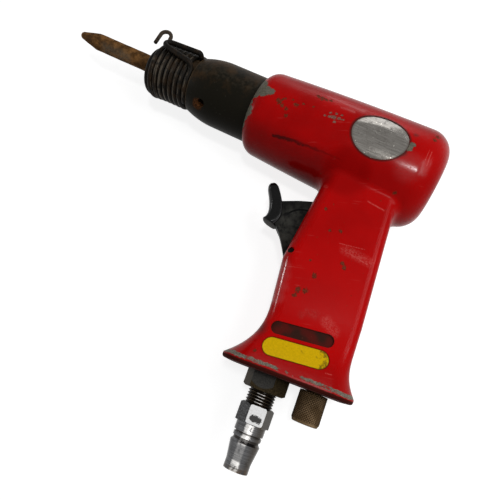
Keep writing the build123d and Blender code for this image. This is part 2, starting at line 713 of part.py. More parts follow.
coil_front = COIL_REACH + COIL_PITCH * (COIL_END - COIL_START) / 360
near_foot = around_barrel(LOOP_REAR_REACH, LOOP_RADIUS, LOOP_NEAR_FOOT)
near_end = around_barrel(LOOP_FRONT_REACH, LOOP_RADIUS, LOOP_MIDDLE - LOOP_HALF_TURN)
loop_tip = around_barrel(LOOP_TIP_REACH, LOOP_RADIUS, LOOP_MIDDLE)
far_end = around_barrel(LOOP_FRONT_REACH, LOOP_RADIUS, LOOP_MIDDLE + LOOP_HALF_TURN)
far_foot = around_barrel(LOOP_REAR_REACH, LOOP_RADIUS, LOOP_FAR_FOOT)
loop_nodes = [
    (near_foot, (near_end - near_foot).normalized()),
    (near_end, (near_end - near_foot).normalized()),
    (loop_tip, (far_end - near_end).normalized()),
    (far_end, (far_foot - far_end).normalized()),
    (far_foot, (far_foot - far_end).normalized()),
]
hook_rear = HOOK_REACH - HOOK_HALF_WIDTH
hook_front = HOOK_REACH + HOOK_HALF_WIDTH
hook_shoulder = HOOK_HEIGHT - HOOK_HALF_WIDTH
hook_foot = front + Vector(HOOK_LEAN - hook_rear, hook_shoulder - HOOK_RISE, -2 * HOOK_SKEW)
hook_nodes = [
    (hook_foot, Vector(-HOOK_LEAN, HOOK_RISE, HOOK_SKEW).normalized()),
    (front + Vector(-hook_rear, hook_shoulder, -HOOK_SKEW), Vector(0, 1, 0)),
    (front + Vector(-HOOK_REACH, HOOK_HEIGHT, -HOOK_SKEW / 2), Vector(-1, 0, 0)),
    (front + Vector(-hook_front, hook_shoulder, 0), Vector(0, -1, 0)),
    (front + Vector(-hook_front, hook_shoulder - HOOK_LEG, 0), Vector(0, -1, 0)),
]
retainer_nodes = (
    coil_nodes(COIL_START, LOOP_LEAVES) + loop_nodes + coil_nodes(LOOP_JOINS, COIL_END) + hook_nodes
)

with BuildPart() as retainer_spring:
    with BuildLine() as retainer_wire:
        draw_wire(retainer_nodes)
    with BuildSketch(Plane(retainer_nodes[0][0], z_dir=retainer_nodes[0][1])):
        Circle(WIRE / 2)
    sweep()
retainer_spring.part.label = "retainer_spring"
export_step(retainer_spring.part, "parts/retainer_spring.step")
retainer_gap = least_gap(retainer_wire.wires()[0], WIRE)
print("retainer spring: least gap to itself", round(retainer_gap, 2), "mm")

# Trigger: a finger pad on a web, with a heel behind the pivot that pushes the throttle pin down
with BuildPart() as trigger:
    with BuildSketch(side) as trigger_pad:
        with BuildLine():
            face = ThreePointArc(
                from_pivot(HORN_AHEAD, HORN_UP),
                from_pivot(FACE_AHEAD, FACE_UP),
                from_pivot(FACE_FOOT_AHEAD, FACE_FOOT_UP),
            )
            spine = ThreePointArc(
                from_pivot(SPINE_FOOT_AHEAD, SPINE_FOOT_UP),
                from_pivot(SPINE_AHEAD, SPINE_UP),
                from_pivot(SPINE_TOP_AHEAD, SPINE_TOP_UP),
            )
            Line(face @ 1, spine @ 0)
            Line(spine @ 1, face @ 0)
        make_face()
        fillet(trigger_pad.vertices().sort_by(Axis.Y)[:2], FOOT_ROUND)
        fillet(trigger_pad.vertices().sort_by(Axis.Y)[-2:], HORN_ROUND)
    extrude(amount=PAD_HALF_WIDTH, both=True)
    fillet(trigger.faces().filter_by(Axis.Z).edges(), PAD_ROUND)
    with BuildSketch(side):
        with BuildLine():
            Polyline(
                from_pivot(WEB_FRONT_AHEAD, WEB_FRONT_UP),
                (TRIGGER_FACE, pivot[1] + WEB_CREST_UP),
                (TRIGGER_FACE + WEB_TOP_BACK, pivot[1] + WEB_TOP_UP),
                in_grip(heel_depth - HEEL_HEIGHT, heel_back),
                in_grip(heel_depth, heel_back),
                in_grip(heel_depth, PIVOT_BACK + HEEL_START),
                from_pivot(WEB_UNDER_AHEAD, WEB_UNDER_UP),
                from_pivot(WEB_CHIN_AHEAD, WEB_CHIN_UP),
                from_pivot(WEB_LIP_AHEAD, WEB_LIP_UP),
                close=True,
            )
        make_face()
        with Locations(pivot):
            Circle(PIVOT_BOSS)
    extrude(amount=WEB_HALF_WIDTH, both=True)
    with BuildSketch(side.offset(WEB_HALF_WIDTH), side.offset(-WEB_HALF_WIDTH)):
        with Locations(from_pivot(WEB_DISC_AHEAD, WEB_DISC_UP)):
            Circle(WEB_DISC_RADIUS)
    extrude(amount=WEB_DISC_DEPTH, both=True, mode=Mode.SUBTRACT)
    with BuildSketch(side):
        with Locations(pivot):
            Circle(TRIGGER_PIN_RADIUS + RUNNING_GAP)
    extrude(amount=PAD_HALF_WIDTH, both=True, mode=Mode.SUBTRACT)
trigger.part.label = "trigger"
export_step(trigger.part, "parts/trigger.step")

with BuildPart() as trigger_pin:
    with BuildSketch(side):
        with Locations(pivot):
            Circle(TRIGGER_PIN_RADIUS)
    extrude(amount=GRIP_HALF_WIDTH - TRIGGER_PIN_RECESS, both=True)
trigger_pin.part.label = "trigger_pin"
export_step(trigger_pin.part, "parts/trigger_pin.step")

# Throttle: pin in a sealed bush, poppet that lifts off a seat, and the spring that closes it
poppet_top = seat_face - THROTTLE_NECK
with BuildPart() as throttle_pin:
    with BuildSketch(across_grip(pin_top, INLET_BACK)):
        Circle(THROTTLE_PIN_RADIUS)
    extrude(amount=poppet_top - LIFT_GAP - pin_top)
    fillet(throttle_pin.edges().filter_by(GeomType.CIRCLE).sort_by(inlet_axis)[0], THROTTLE_PIN_DOME)
throttle_pin.part.label = "throttle_pin"
export_step(throttle_pin.part, "parts/throttle_pin.step")

pin_seal_depth = slot_floor + THROTTLE_BUSH_LENGTH / 2
pin_seal_radius = THROTTLE_PIN_RADIUS + RUNNING_GAP + SEAL_SECTION
with BuildPart() as throttle_bush:
    with BuildSketch(across_grip(slot_floor, INLET_BACK)):
        Circle(THROTTLE_BUSH_RADIUS)
        Circle(THROTTLE_PIN_RADIUS + RUNNING_GAP, mode=Mode.SUBTRACT)
    extrude(amount=THROTTLE_BUSH_LENGTH)
    with BuildSketch(across_grip(pin_seal_depth, INLET_BACK)):
        Circle(pin_seal_radius + SEAL_SECTION + SEAT_GAP)
    extrude(amount=SEAL_SECTION + SEAT_GAP, both=True, mode=Mode.SUBTRACT)
throttle_bush.part.label = "throttle_bush"
export_step(throttle_bush.part, "parts/throttle_bush.step")

with BuildPart() as throttle_pin_seal:
    with BuildSketch(inlet_side):
        with Locations((pin_seal_depth, pin_seal_radius)):
            Circle(SEAL_SECTION)
    revolve(axis=inlet_axis)
throttle_pin_seal.part.label = "throttle_pin_seal"
export_step(throttle_pin_seal.part, "parts/throttle_pin_seal.step")

with BuildPart() as valve_seat:
    with BuildSketch(across_grip(seat_depth, INLET_BACK)):
        Circle(VALVE_CHAMBER_RADIUS - SEAT_GAP)
        Circle(SEAT_HOLE_RADIUS, mode=Mode.SUBTRACT)
    extrude(amount=SEAT_LENGTH)
valve_seat.part.label = "valve_seat"
export_step(valve_seat.part, "parts/valve_seat.step")

washer_face = seat_face + RUNNING_GAP
head_top = washer_face + THROTTLE_WASHER
head_foot = head_top + THROTTLE_HEAD
with BuildPart() as throttle_valve:
    with BuildSketch(inlet_side):
        with BuildLine():
            Polyline(
                (poppet_top, 0),
                (poppet_top, THROTTLE_NECK_RADIUS),
                (head_top, THROTTLE_NECK_RADIUS),
                (head_top, THROTTLE_HEAD_RADIUS),
                (head_foot, THROTTLE_HEAD_RADIUS),
                (head_foot, SPIGOT_RADIUS),
                (head_foot + SPIGOT_LENGTH, SPIGOT_RADIUS),
                (head_foot + SPIGOT_LENGTH, 0),
                close=True,
            )
        make_face()
    revolve(axis=inlet_axis)
throttle_valve.part.label = "throttle_valve"
export_step(throttle_valve.part, "parts/throttle_valve.step")

with BuildPart() as throttle_valve_seal:
    with BuildSketch(across_grip(washer_face, INLET_BACK)):
        Circle(THROTTLE_HEAD_RADIUS)
        Circle(THROTTLE_NECK_RADIUS + SEAT_GAP, mode=Mode.SUBTRACT)
    extrude(amount=THROTTLE_WASHER)
throttle_valve_seal.part.label = "throttle_valve_seal"
export_step(throttle_valve_seal.part, "parts/throttle_valve_seal.step")

bush_top = BASE_DEPTH - BUSH_INSERT
spring_top = head_foot + SPRING_WIRE / 2
spring_foot = bush_top - SPRING_WIRE / 2


def throttle_coil_point(angle):
    """Point of the throttle spring, wound down the inlet's axis at a steady pitch."""
    turned = math.radians(angle)
    depth = spring_top + (spring_foot - spring_top) * angle / (360 * SPRING_TURNS)
    around = back * math.cos(turned) + up * math.sin(turned)
    return inlet_side.origin + down * depth + around * SPRING_RADIUS


def throttle_coil_node(angle):
    """Point of the throttle spring and the way that its wire passes it."""
    way = throttle_coil_point(angle + WAY_STEP) - throttle_coil_point(angle - WAY_STEP)
    return throttle_coil_point(angle), way.normalized()


throttle_nodes = [throttle_coil_node(180 * half) for half in range(2 * SPRING_TURNS + 1)]
with BuildPart() as throttle_spring:
    with BuildLine() as throttle_wire:
        draw_wire(throttle_nodes)
    with BuildSketch(Plane(throttle_nodes[0][0], z_dir=throttle_nodes[0][1])):
        Circle(SPRING_WIRE / 2)
    sweep()
throttle_spring.part.label = "throttle_spring"
export_step(throttle_spring.part, "parts/throttle_spring.step")
throttle_gap = least_gap(throttle_wire.wires()[0], SPRING_WIRE)
print("throttle spring: least gap to itself", round(throttle_gap, 2), "mm")

# Air inlet: hex bush, gasket and strainer, and the quick plug screwed into the bush
thread_top = bush_end - THREAD_INSERT
screen_flange = thread_top - SCREEN_WALL
screen_radius = BUSH_HOLE_RADIUS - RUNNING_GAP
chamfer_slope = math.tan(math.radians(HEX_CHAMFER))
with BuildPart() as inlet_bush:
    with BuildSketch(across_grip(BASE_DEPTH, INLET_BACK)):
        RegularPolygon(BUSH_HEX / 2, 6, major_radius=False, rotation=BUSH_TURN)
    extrude(amount=BUSH_HEX_LENGTH)
    with BuildSketch(inlet_side):
        with BuildLine():
            Polyline(
                (bush_end, BUSH_HEX / 2),
                (bush_end, BUSH_HEX),
                (bush_end - BUSH_HEX / 2 * chamfer_slope, BUSH_HEX),
                close=True,
            )
        make_face()
    revolve(axis=inlet_axis, mode=Mode.SUBTRACT)
    with BuildSketch(across_grip(BASE_DEPTH, INLET_BACK)):
        Circle(BUSH_RADIUS)
    extrude(amount=-BUSH_INSERT)
    with BuildSketch(across_grip(bush_end, INLET_BACK)):
        Circle(THREAD_RADIUS + SEAT_GAP)
    extrude(amount=screen_flange - bush_end, mode=Mode.SUBTRACT)
    with BuildSketch(across_grip(bush_top, INLET_BACK)):
        Circle(BUSH_MOUTH_RADIUS)
    extrude(amount=BUSH_INSERT, mode=Mode.SUBTRACT)
    with BuildSketch(across_grip(bush_top + BUSH_LIP, INLET_BACK)):
        Circle(BUSH_HOLE_RADIUS)
    extrude(amount=BUSH_INSERT - BUSH_LIP, mode=Mode.SUBTRACT)
inlet_bush.part.label = "inlet_bush"
export_step(inlet_bush.part, "parts/inlet_bush.step")

with BuildPart() as inlet_gasket:
    with BuildSketch(across_grip(chamber_end, INLET_BACK)):
        Circle(BUSH_RADIUS)
        Circle(BUSH_RADIUS - GASKET_WIDTH, mode=Mode.SUBTRACT)
    extrude(amount=GASKET)
inlet_gasket.part.label = "inlet_gasket"
export_step(inlet_gasket.part, "parts/inlet_gasket.step")

with BuildPart() as inlet_screen:
    with BuildSketch(across_grip(screen_flange, INLET_BACK)):
        Circle(THREAD_RADIUS - RUNNING_GAP)
    extrude(amount=SCREEN_WALL)
    with BuildSketch(across_grip(screen_flange, INLET_BACK)):
        Circle(screen_radius)
    extrude(amount=-SCREEN_LENGTH)
    with BuildSketch(across_grip(thread_top, INLET_BACK)):
        Circle(screen_radius - SCREEN_WALL)
    extrude(amount=-SCREEN_LENGTH, mode=Mode.SUBTRACT)
    for row in range(SCREEN_ROWS):
        depth = screen_flange - SCREEN_LENGTH * (row + 1) / (SCREEN_ROWS + 1)
        for hole in range(SCREEN_HOLES // 2):
            turn = math.pi * hole / (SCREEN_HOLES // 2)
            outward = back * math.cos(turn) + up * math.sin(turn)
            with BuildSketch(Plane(inlet_side.origin + down * depth, x_dir=down, z_dir=outward)):
                Circle(SCREEN_HOLE_RADIUS)
            extrude(amount=BUSH_HOLE_RADIUS, both=True, mode=Mode.SUBTRACT)
inlet_screen.part.label = "inlet_screen"
export_step(inlet_screen.part, "parts/inlet_screen.step")

groove_depth = plug_collar_depth + PLUG_COLLAR_LENGTH
ring_depth = groove_depth + PLUG_GROOVE
neck_depth = ring_depth + PLUG_RING
ridge_depth = neck_depth + PLUG_NECK
with BuildPart() as quick_plug:
    with BuildSketch(inlet_side):
        with BuildLine():
            Polyline(
                (thread_top, PLUG_HOLE_RADIUS),
                (thread_top, THREAD_RADIUS),
                (bush_end, THREAD_RADIUS),
                (bush_end, THREAD_ROOT_RADIUS),
                (plug_collar_depth, THREAD_ROOT_RADIUS),
                (plug_collar_depth, PLUG_COLLAR_RADIUS),
                (groove_depth, PLUG_COLLAR_RADIUS),
                (groove_depth, PLUG_GROOVE_RADIUS),
                (ring_depth, PLUG_GROOVE_RADIUS),
                (ring_depth, PLUG_RING_RADIUS),
                (neck_depth, PLUG_RING_RADIUS),
                (neck_depth, PLUG_NECK_RADIUS),
                (ridge_depth, PLUG_NECK_RADIUS),
                (ridge_depth + PLUG_RIDGE, PLUG_RIDGE_RADIUS),
                (ridge_depth + PLUG_RIDGE + PLUG_TAPER, PLUG_NOSE_RADIUS),
                (plug_end, PLUG_NOSE_RADIUS),
                (plug_end, PLUG_HOLE_RADIUS),
                close=True,
            )
        make_face()
    revolve(axis=inlet_axis)
    with BuildSketch(across_grip(plug_hex_depth, INLET_BACK)):
        RegularPolygon(PLUG_HEX / 2, 6, major_radius=False, rotation=PLUG_TURN)
        Circle(PLUG_HOLE_RADIUS, mode=Mode.SUBTRACT)
    extrude(amount=PLUG_HEX_LENGTH)
    with BuildSketch(inlet_side):
        with BuildLine():
            Polyline(
                (plug_hex_depth, PLUG_HEX / 2),
                (plug_hex_depth, PLUG_HEX),
                (plug_hex_depth + PLUG_HEX / 2 * chamfer_slope, PLUG_HEX),
                close=True,
            )
            Polyline(
                (plug_collar_depth, PLUG_HEX / 2),
                (plug_collar_depth, PLUG_HEX),
                (plug_collar_depth - PLUG_HEX / 2 * chamfer_slope, PLUG_HEX),
                close=True,
            )
        make_face()
    revolve(axis=inlet_axis, mode=Mode.SUBTRACT)
quick_plug.part.label = "quick_plug"
export_step(quick_plug.part, "parts/quick_plug.step")

# Air regulator: a cross-drilled plug turned by its knob, with an O-ring and a retaining ring
knob_top = BASE_DEPTH + KNOB_GAP
stem_seal_radius = STEM_RADIUS - STEM_SEAL_GROOVE + SEAL_SECTION
with BuildPart() as regulator:
    with BuildSketch(across_grip(knob_top, REGULATOR_BACK)):
        Circle(KNOB_RADIUS)
    extrude(amount=KNOB_LENGTH)
    fillet(regulator.edges().filter_by(GeomType.CIRCLE), KNOB_ROUND)
    with BuildSketch(across_grip(stem_top, REGULATOR_BACK)):
        Circle(STEM_RADIUS)
    extrude(amount=knob_top - stem_top)
    with BuildSketch(across_grip(STEM_SEAL_DEPTH, REGULATOR_BACK)):
        Circle(STEM_RADIUS)
        Circle(STEM_RADIUS - STEM_SEAL_GROOVE, mode=Mode.SUBTRACT)
    extrude(amount=SEAL_SECTION + SEAT_GAP, both=True, mode=Mode.SUBTRACT)
    with BuildSketch(across_grip(CLIP_DEPTH - RUNNING_GAP, REGULATOR_BACK)):
        Circle(STEM_RADIUS)
        Circle(CLIP_INNER_RADIUS - RUNNING_GAP, mode=Mode.SUBTRACT)
    extrude(amount=CLIP_THICKNESS + 2 * RUNNING_GAP, mode=Mode.SUBTRACT)
    with BuildSketch(across_grip(stem_top, REGULATOR_BACK)):
        Circle(STEM_PORT_RADIUS)
    extrude(amount=stem_port_depth - stem_top, mode=Mode.SUBTRACT)
    with BuildSketch(Plane(regulator_side.origin + down * stem_port_depth, x_dir=down, z_dir=back)):
        Circle(STEM_PORT_RADIUS)
    extrude(amount=-KNOB_RADIUS, mode=Mode.SUBTRACT)
regulator.part.label = "regulator"
export_step(regulator.part, "parts/regulator.step")

with BuildPart() as regulator_seal:
    with BuildSketch(regulator_side):
        with Locations((STEM_SEAL_DEPTH, stem_seal_radius)):
            Circle(SEAL_SECTION - SEAT_GAP)
    revolve(axis=regulator_axis)
    with BuildSketch(across_grip(STEM_SEAL_DEPTH, REGULATOR_BACK)):
        Circle(STEM_RADIUS)
    extrude(amount=SEAL_SECTION, both=True, mode=Mode.INTERSECT)
regulator_seal.part.label = "regulator_seal"
export_step(regulator_seal.part, "parts/regulator_seal.step")

with BuildPart() as regulator_clip:
    with BuildSketch(across_grip(CLIP_DEPTH, REGULATOR_BACK)):
        Circle(CLIP_OUTER_RADIUS)
        Circle(CLIP_INNER_RADIUS, mode=Mode.SUBTRACT)
        with BuildLine():
            mouth_angle = math.radians(CLIP_GAP_DEGREES / 2)
            mouth_x = 2 * CLIP_OUTER_RADIUS * math.cos(mouth_angle)
            mouth_y = 2 * CLIP_OUTER_RADIUS * math.sin(mouth_angle)
            Polyline((0, 0), (mouth_x, mouth_y), (mouth_x, -mouth_y), close=True)
        make_face(mode=Mode.SUBTRACT)
    extrude(amount=CLIP_THICKNESS)
regulator_clip.part.label = "regulator_clip"
export_step(regulator_clip.part, "parts/regulator_clip.step")

# Badge and label: thin plates that follow the curved floors of their recesses
with BuildPart() as badge_skin:
    add(body_outline(BADGE_SUNK))
    revolve(axis=barrel_axis)

with BuildPart() as badge:
    with BuildSketch(badge_plane):
        Ellipse(BADGE_LENGTH / 2 - PLATE_EDGE_GAP, BADGE_HEIGHT / 2 - PLATE_EDGE_GAP)
    extrude(amount=2 * BODY_REAR_RADIUS)
    add(badge_skin.part, mode=Mode.INTERSECT)
    add(body_core.part, mode=Mode.SUBTRACT)
badge.part.label = "badge"
export_step(badge.part, "parts/badge.step")

with BuildPart() as label_skin:
    loft(flare_sections(LABEL_SUNK))

with BuildPart() as base_label:
    with BuildSketch(label_plane):
        SlotOverall(LABEL_LENGTH - 2 * PLATE_EDGE_GAP, LABEL_HEIGHT - 2 * PLATE_EDGE_GAP)
    extrude(amount=2 * BODY_REAR_RADIUS)
    add(label_skin.part, mode=Mode.INTERSECT)
    add(grip_core.part, mode=Mode.SUBTRACT)
base_label.part.label = "base_label"
export_step(base_label.part, "parts/base_label.step")
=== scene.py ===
# %% [markdown]
# # An air hammer, dressed for the camera
# The solids of this tool come ready made, each in its place. This lesson gives them their finishes, adds the few
# surfaces that are too fine for the solids, and sets up light and camera. The model is loaded first, as a fixed
# frame.

# %% Load the tool
import math
from functools import reduce

import bmesh
import bpy
import numpy as np
from mathutils import Matrix, Vector


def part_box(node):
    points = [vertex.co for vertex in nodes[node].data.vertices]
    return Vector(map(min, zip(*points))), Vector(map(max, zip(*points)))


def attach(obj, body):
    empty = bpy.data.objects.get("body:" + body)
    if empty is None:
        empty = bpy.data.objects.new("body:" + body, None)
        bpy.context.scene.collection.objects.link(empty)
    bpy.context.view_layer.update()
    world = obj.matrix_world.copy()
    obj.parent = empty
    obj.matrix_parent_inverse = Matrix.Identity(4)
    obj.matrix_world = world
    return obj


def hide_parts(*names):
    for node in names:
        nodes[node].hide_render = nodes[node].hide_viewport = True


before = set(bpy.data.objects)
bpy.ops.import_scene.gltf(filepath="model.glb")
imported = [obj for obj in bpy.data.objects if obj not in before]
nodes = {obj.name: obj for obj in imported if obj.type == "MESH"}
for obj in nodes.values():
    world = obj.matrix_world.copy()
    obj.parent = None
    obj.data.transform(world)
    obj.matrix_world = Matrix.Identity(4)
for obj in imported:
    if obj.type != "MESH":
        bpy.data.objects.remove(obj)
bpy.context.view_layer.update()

print(len(nodes), "solids loaded")

# %% [markdown]
# ## The tool's own axes
# Everything on the tool is easier to place from the middle of its front face than from the corner of a table. Depths
# run down the raked grip, and "back" runs across it. Lengths are in millimetres here, and become metres in a mesh.

# %% Axes
MM = 0.001
barrel_low, barrel_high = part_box("barrel")
FRONT = np.array([
    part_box("housing")[0].x, (barrel_low.y + barrel_high.y) / 2, (barrel_low.z + barrel_high.z) / 2,
])
REAR, RISE, UP = np.eye(3)
AHEAD = -REAR
RAKE = math.radians(8)
DOWN = np.array([math.sin(RAKE), -math.cos(RAKE), 0])
BACK = np.array([math.cos(RAKE), math.sin(RAKE), 0])
INLET_BACK, KNOB_BACK = 53.4, 75.6
BASE_DEPTH = 129.3
print("front face at", FRONT.round(4), "m")

# %% [markdown]
# ## Camera
# The photograph was taken from above the lying tool, a little from the front. Its place, three turns and focal length
# were fitted to points of the tool, such as the ends of the barrel and the corners of the base. A camera's matrix has
# its right, up and backward directions as columns.

# %% Camera
EYE = np.array([82.04, -122.261, 232.239])
TILT, SWING, ROLL = -0.211, 0.205, 0.512
FOCAL_PIXELS, IMAGE_PIXELS = 481.045, 500
SENSOR = 36
NEAREST = 0.005

turned = Matrix.Rotation(ROLL, 3, "Z") @ Matrix.Rotation(TILT, 3, "X") @ Matrix.Rotation(SWING, 3, "Y")
right, down_image, forward = turned @ Matrix.Diagonal((1, -1, -1))
camera = bpy.data.objects.new("camera", bpy.data.cameras.new("camera"))
camera.data.sensor_width = SENSOR
camera.data.lens = FOCAL_PIXELS / IMAGE_PIXELS * SENSOR
camera.data.clip_start = NEAREST
looking = Matrix((right, -down_image, -forward)).transposed()
camera.matrix_world = Matrix.Translation(Vector(FRONT + MM * EYE)) @ looking.to_4x4()
bpy.context.scene.collection.objects.link(camera)
bpy.context.scene.camera = camera
bpy.context.scene.view_settings.view_transform = "Standard"
print("lens", round(camera.data.lens, 2), "mm")

# %% [markdown]
# ## Shader sums as plain expressions
# A finish is a sum of masks: chips, dirt, worn edges. Wiring Math nodes by hand hides the sum, so a small class wraps
# a socket and turns +, -, * and / into nodes. One method adds any other node, with its settings first.

# %% Flow
def joined(operation):
    """A method that joins two numbers by this operation of a Math node."""
    def join(self, other):
        return self.math(operation, self, other)
    return join


class Flow:
    """A number, colour or vector on its way through a node tree: wraps the socket that gives it."""

    def __init__(self, tree, socket=None):
        self.tree = tree
        self.socket = socket

    def node(self, kind, inputs, out=0, **settings):
        """Add a node of this kind, with its settings and then its inputs, and give one of its outputs."""
        made = self.tree.nodes.new("ShaderNode" + kind)
        for name, value in settings.items():
            setattr(made, name, value)
        for key, value in inputs.items():
            if isinstance(value, Flow):
                self.tree.links.new(value.socket, made.inputs[key])
            else:
                made.inputs[key].default_value = value
        return Flow(self.tree, made.outputs[out])

    def math(self, operation, *values, **settings):
        """A Math node on the values, in their order."""
        return self.node("Math", dict(enumerate(values)), operation=operation, **settings)

    __add__ = __radd__ = joined("ADD")
    __mul__ = __rmul__ = joined("MULTIPLY")
    __sub__, __truediv__ = joined("SUBTRACT"), joined("DIVIDE")
    low, high = joined("MINIMUM"), joined("MAXIMUM")

    def __rsub__(self, other):
        return self.math("SUBTRACT", other, self)

    def ease(self, start, end):
        """0 at start, 1 at end and smooth between them. The start may be the larger number."""
        numbers = {"Value": self, "From Min": start, "From Max": end}
        return self.node("MapRange", numbers, interpolation_type="SMOOTHSTEP")

    def between(self, start, full, fading, end):
        """0 up to start, 1 from full to fading, 0 from end on, and smooth between."""
        return self.ease(start, full) * self.ease(end, fading)

    def vector(self, operation, *values, out=0):
        """A Vector Math node on the values, in their order."""
        return self.node("VectorMath", dict(enumerate(values)), out, operation=operation)

    def dot(self, axis):
        """How far this place lies along an axis."""
        return self.vector("DOT_PRODUCT", self, tuple(axis), out=1)

    def away(self, point):
        """Distance of this place from a point."""
        return self.vector("DISTANCE", self, tuple(point), out=1)

    def scaled(self, factors):
        """This vector, each part times its own factor."""
        return self.vector("MULTIPLY", self, factors)

    def flat(self):
        """This place pressed flat, for marks that are drawn on the tool's side."""
        return self.scaled((1, 1, 0))

    def noise(self, scale, detail=2, roughness=0.5, out=0):
        """Cloudy noise on this place, about 0.5 on average: its value, or with out=1 its colour."""
        sockets = {"Vector": self, "Scale": scale, "Detail": detail, "Roughness": roughness}
        return self.node("TexNoise", sockets, out)

    def ragged(self, scale, amount):
        """This place pushed about by noise, at most half the amount each way."""
        shifted = self.vector("ADD", self, (-amount / 2,) * 3)
        return self.vector("MULTIPLY_ADD", self.noise(scale, 3, 0.6, out=1), (amount,) * 3, shifted)

    def tint(self, below, above):
        """A colour between two, by this number from 0 to 1. Each is a flow, or red, green and blue."""
        below, above = (part if isinstance(part, Flow) else (*part, 1) for part in (below, above))
        return self.node("Mix", {0: self, 6: below, 7: above}, out=2, data_type="RGBA")


print("sums are ready")

# %% [markdown]
# ## Floor and sky
# The tool lies on a plain white table. To the camera and in reflections, floor and sky are white, and the floor keeps
# the tool's shadow. A bright lamp could whiten them too, but it would bleach the tool, so their own glow does it.

# %% Floor and sky
FLOOR_SIDE = 3
FLOOR_GAP = 0.0003
FLOOR_GREY = 0.4
FLOOR_GLOW = 0.82
SKY_LIGHT = 0.15


def seen(flow):
    """1 for rays of the camera and rays that mirrors or glass send on, else 0."""
    rays = [flow.node("LightPath", {}, f"Is {kind} Ray") for kind in ("Camera", "Glossy", "Transmission")]
    return reduce(Flow.high, rays)


corners = FLOOR_SIDE / 2 * np.array([[-1, -1, 0], [1, -1, 0], [1, 1, 0], [-1, 1, 0]]) - FLOOR_GAP * UP
floor_mesh = bpy.data.meshes.new("floor")
floor_mesh.from_pydata(corners.tolist(), [], [(0, 1, 2, 3)])
floor = bpy.data.objects.new("floor", floor_mesh)
bpy.context.scene.collection.objects.link(floor)

paper = bpy.data.materials.new("white_table")
paper.use_nodes = True
paper.node_tree.nodes.remove(paper.node_tree.nodes["Principled BSDF"])
flow = Flow(paper.node_tree)
matt = flow.node("BsdfDiffuse", {"Color": (FLOOR_GREY, FLOOR_GREY, FLOOR_GREY, 1)})
glow = flow.node("Emission", {"Strength": seen(flow) * FLOOR_GLOW})
both = flow.node("AddShader", {0: matt, 1: glow})
paper.node_tree.links.new(both.socket, paper.node_tree.nodes["Material Output"].inputs["Surface"])
floor_mesh.materials.append(paper)

world = bpy.data.worlds.new("pale_room")
world.use_nodes = True
bpy.context.scene.world = world
flow = Flow(world.node_tree)
backdrop = world.node_tree.nodes["Background"]
backdrop.inputs["Color"].default_value = (1, 1, 1, 1)
world.node_tree.links.new((seen(flow) * (1 - SKY_LIGHT) + SKY_LIGHT).socket, backdrop.inputs["Strength"])
print("floor of", FLOOR_SIDE, "m and a pale sky")

# %% [markdown]
# ## Lamps
# A soft key lamp beside the tool's rear lights it. The other lamps are small or far away, and are there for what they
# draw on gloss: a short highlight on the dome, a soft band along the top of the body and on the badge, and thin lines
# along the edges of the grip.

# %% Lamps
TOOL_MIDDLE = np.array([45, -40, 0])
LAMPS = {  # place from the front face, side in metres, watts
    "key": ((320, 60, 400), 0.3, 1.45),
    "ceiling": ((110, -70, 600), 0.05, 0.8),
    "window": ((-130, 1000, 160), 0.4, 1.3),
    "front_glint": ((-900, -80, 190), 0.1, 1.4),
    "rear_glint": ((600, 280, 560), 0.06, 0.35),
}

for name, (place, side, watts) in LAMPS.items():
    lamp = bpy.data.objects.new(name, bpy.data.lights.new(name, "AREA"))
    lamp.data.size = side
    lamp.data.energy = watts
    lamp.location = Vector(FRONT + MM * np.array(place))
    lamp.rotation_mode = "QUATERNION"
    lamp.rotation_quaternion = Vector(TOOL_MIDDLE - place).to_track_quat("-Z", "Y")
    bpy.context.scene.collection.objects.link(lamp)
print(len(LAMPS), "lamps")

# %% [markdown]
# ## From grid to mesh
# A piece is worked out as a grid of points: a function of two parameters, computed as whole arrays. Neighbouring
# points make the faces, and a direction that closes on itself joins its last row to its first. Rows drawn together to
# one point are poles, so doubles are merged, and then all faces are turned outwards.

# %% Grid to mesh
MERGE, SLIVER = 1e-7, 1e-8


def grid_piece(name, points, body, rows_close=False):
    """Mesh piece from points[row, column] in tool millimetres. Columns close, and rows close if told to."""
    rows, columns = points.shape[:2]
    row, column = np.meshgrid(np.arange(rows - (not rows_close)), np.arange(columns), indexing="ij")
    steps = ((0, 0), (0, 1), (1, 1), (1, 0))
    corner = np.stack([(row + a) % rows * columns + (column + b) % columns for a, b in steps], axis=-1)
    share = np.stack([np.stack([(row + a) / rows, (column + b) / columns], -1) for a, b in steps], axis=-2)
    mesh = bpy.data.meshes.new(name)
    mesh.from_pydata((FRONT + MM * points).reshape(-1, 3).tolist(), [], corner.reshape(-1, 4).tolist())
    mesh.uv_layers.new(name="share").data.foreach_set("uv", share.astype(np.float32).ravel())
    work = bmesh.new()
    work.from_mesh(mesh)
    bmesh.ops.remove_doubles(work, verts=work.verts, dist=MERGE)
    bmesh.ops.dissolve_degenerate(work, edges=work.edges, dist=SLIVER)
    bmesh.ops.recalc_face_normals(work, faces=work.faces)
    work.to_mesh(mesh)
    work.free()
    mesh.shade_smooth()
    piece = bpy.data.objects.new(name, mesh)
    bpy.context.scene.collection.objects.link(piece)
    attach(piece, body)
    print(name, "has", len(mesh.polygons), "faces")
    return piece


def round_turn(count):
    """Angles at even steps once round, without the last, which is the first again."""
    return np.linspace(0, 2 * np.pi, count, endpoint=False)


def unit(rows):
    """Each row divided by its length."""
    return rows / np.linalg.norm(rows, axis=1)[:, None]


# %% [markdown]
# ## The path of the retainer's wire
# The bit is kept in by one bent wire: close coils on the barrel's nose, a folded finger loop, a mouth that closes in
# and a hook. It could be a screw modifier, but only a path worked out point by point can leave the coil for the loop
# and come back.

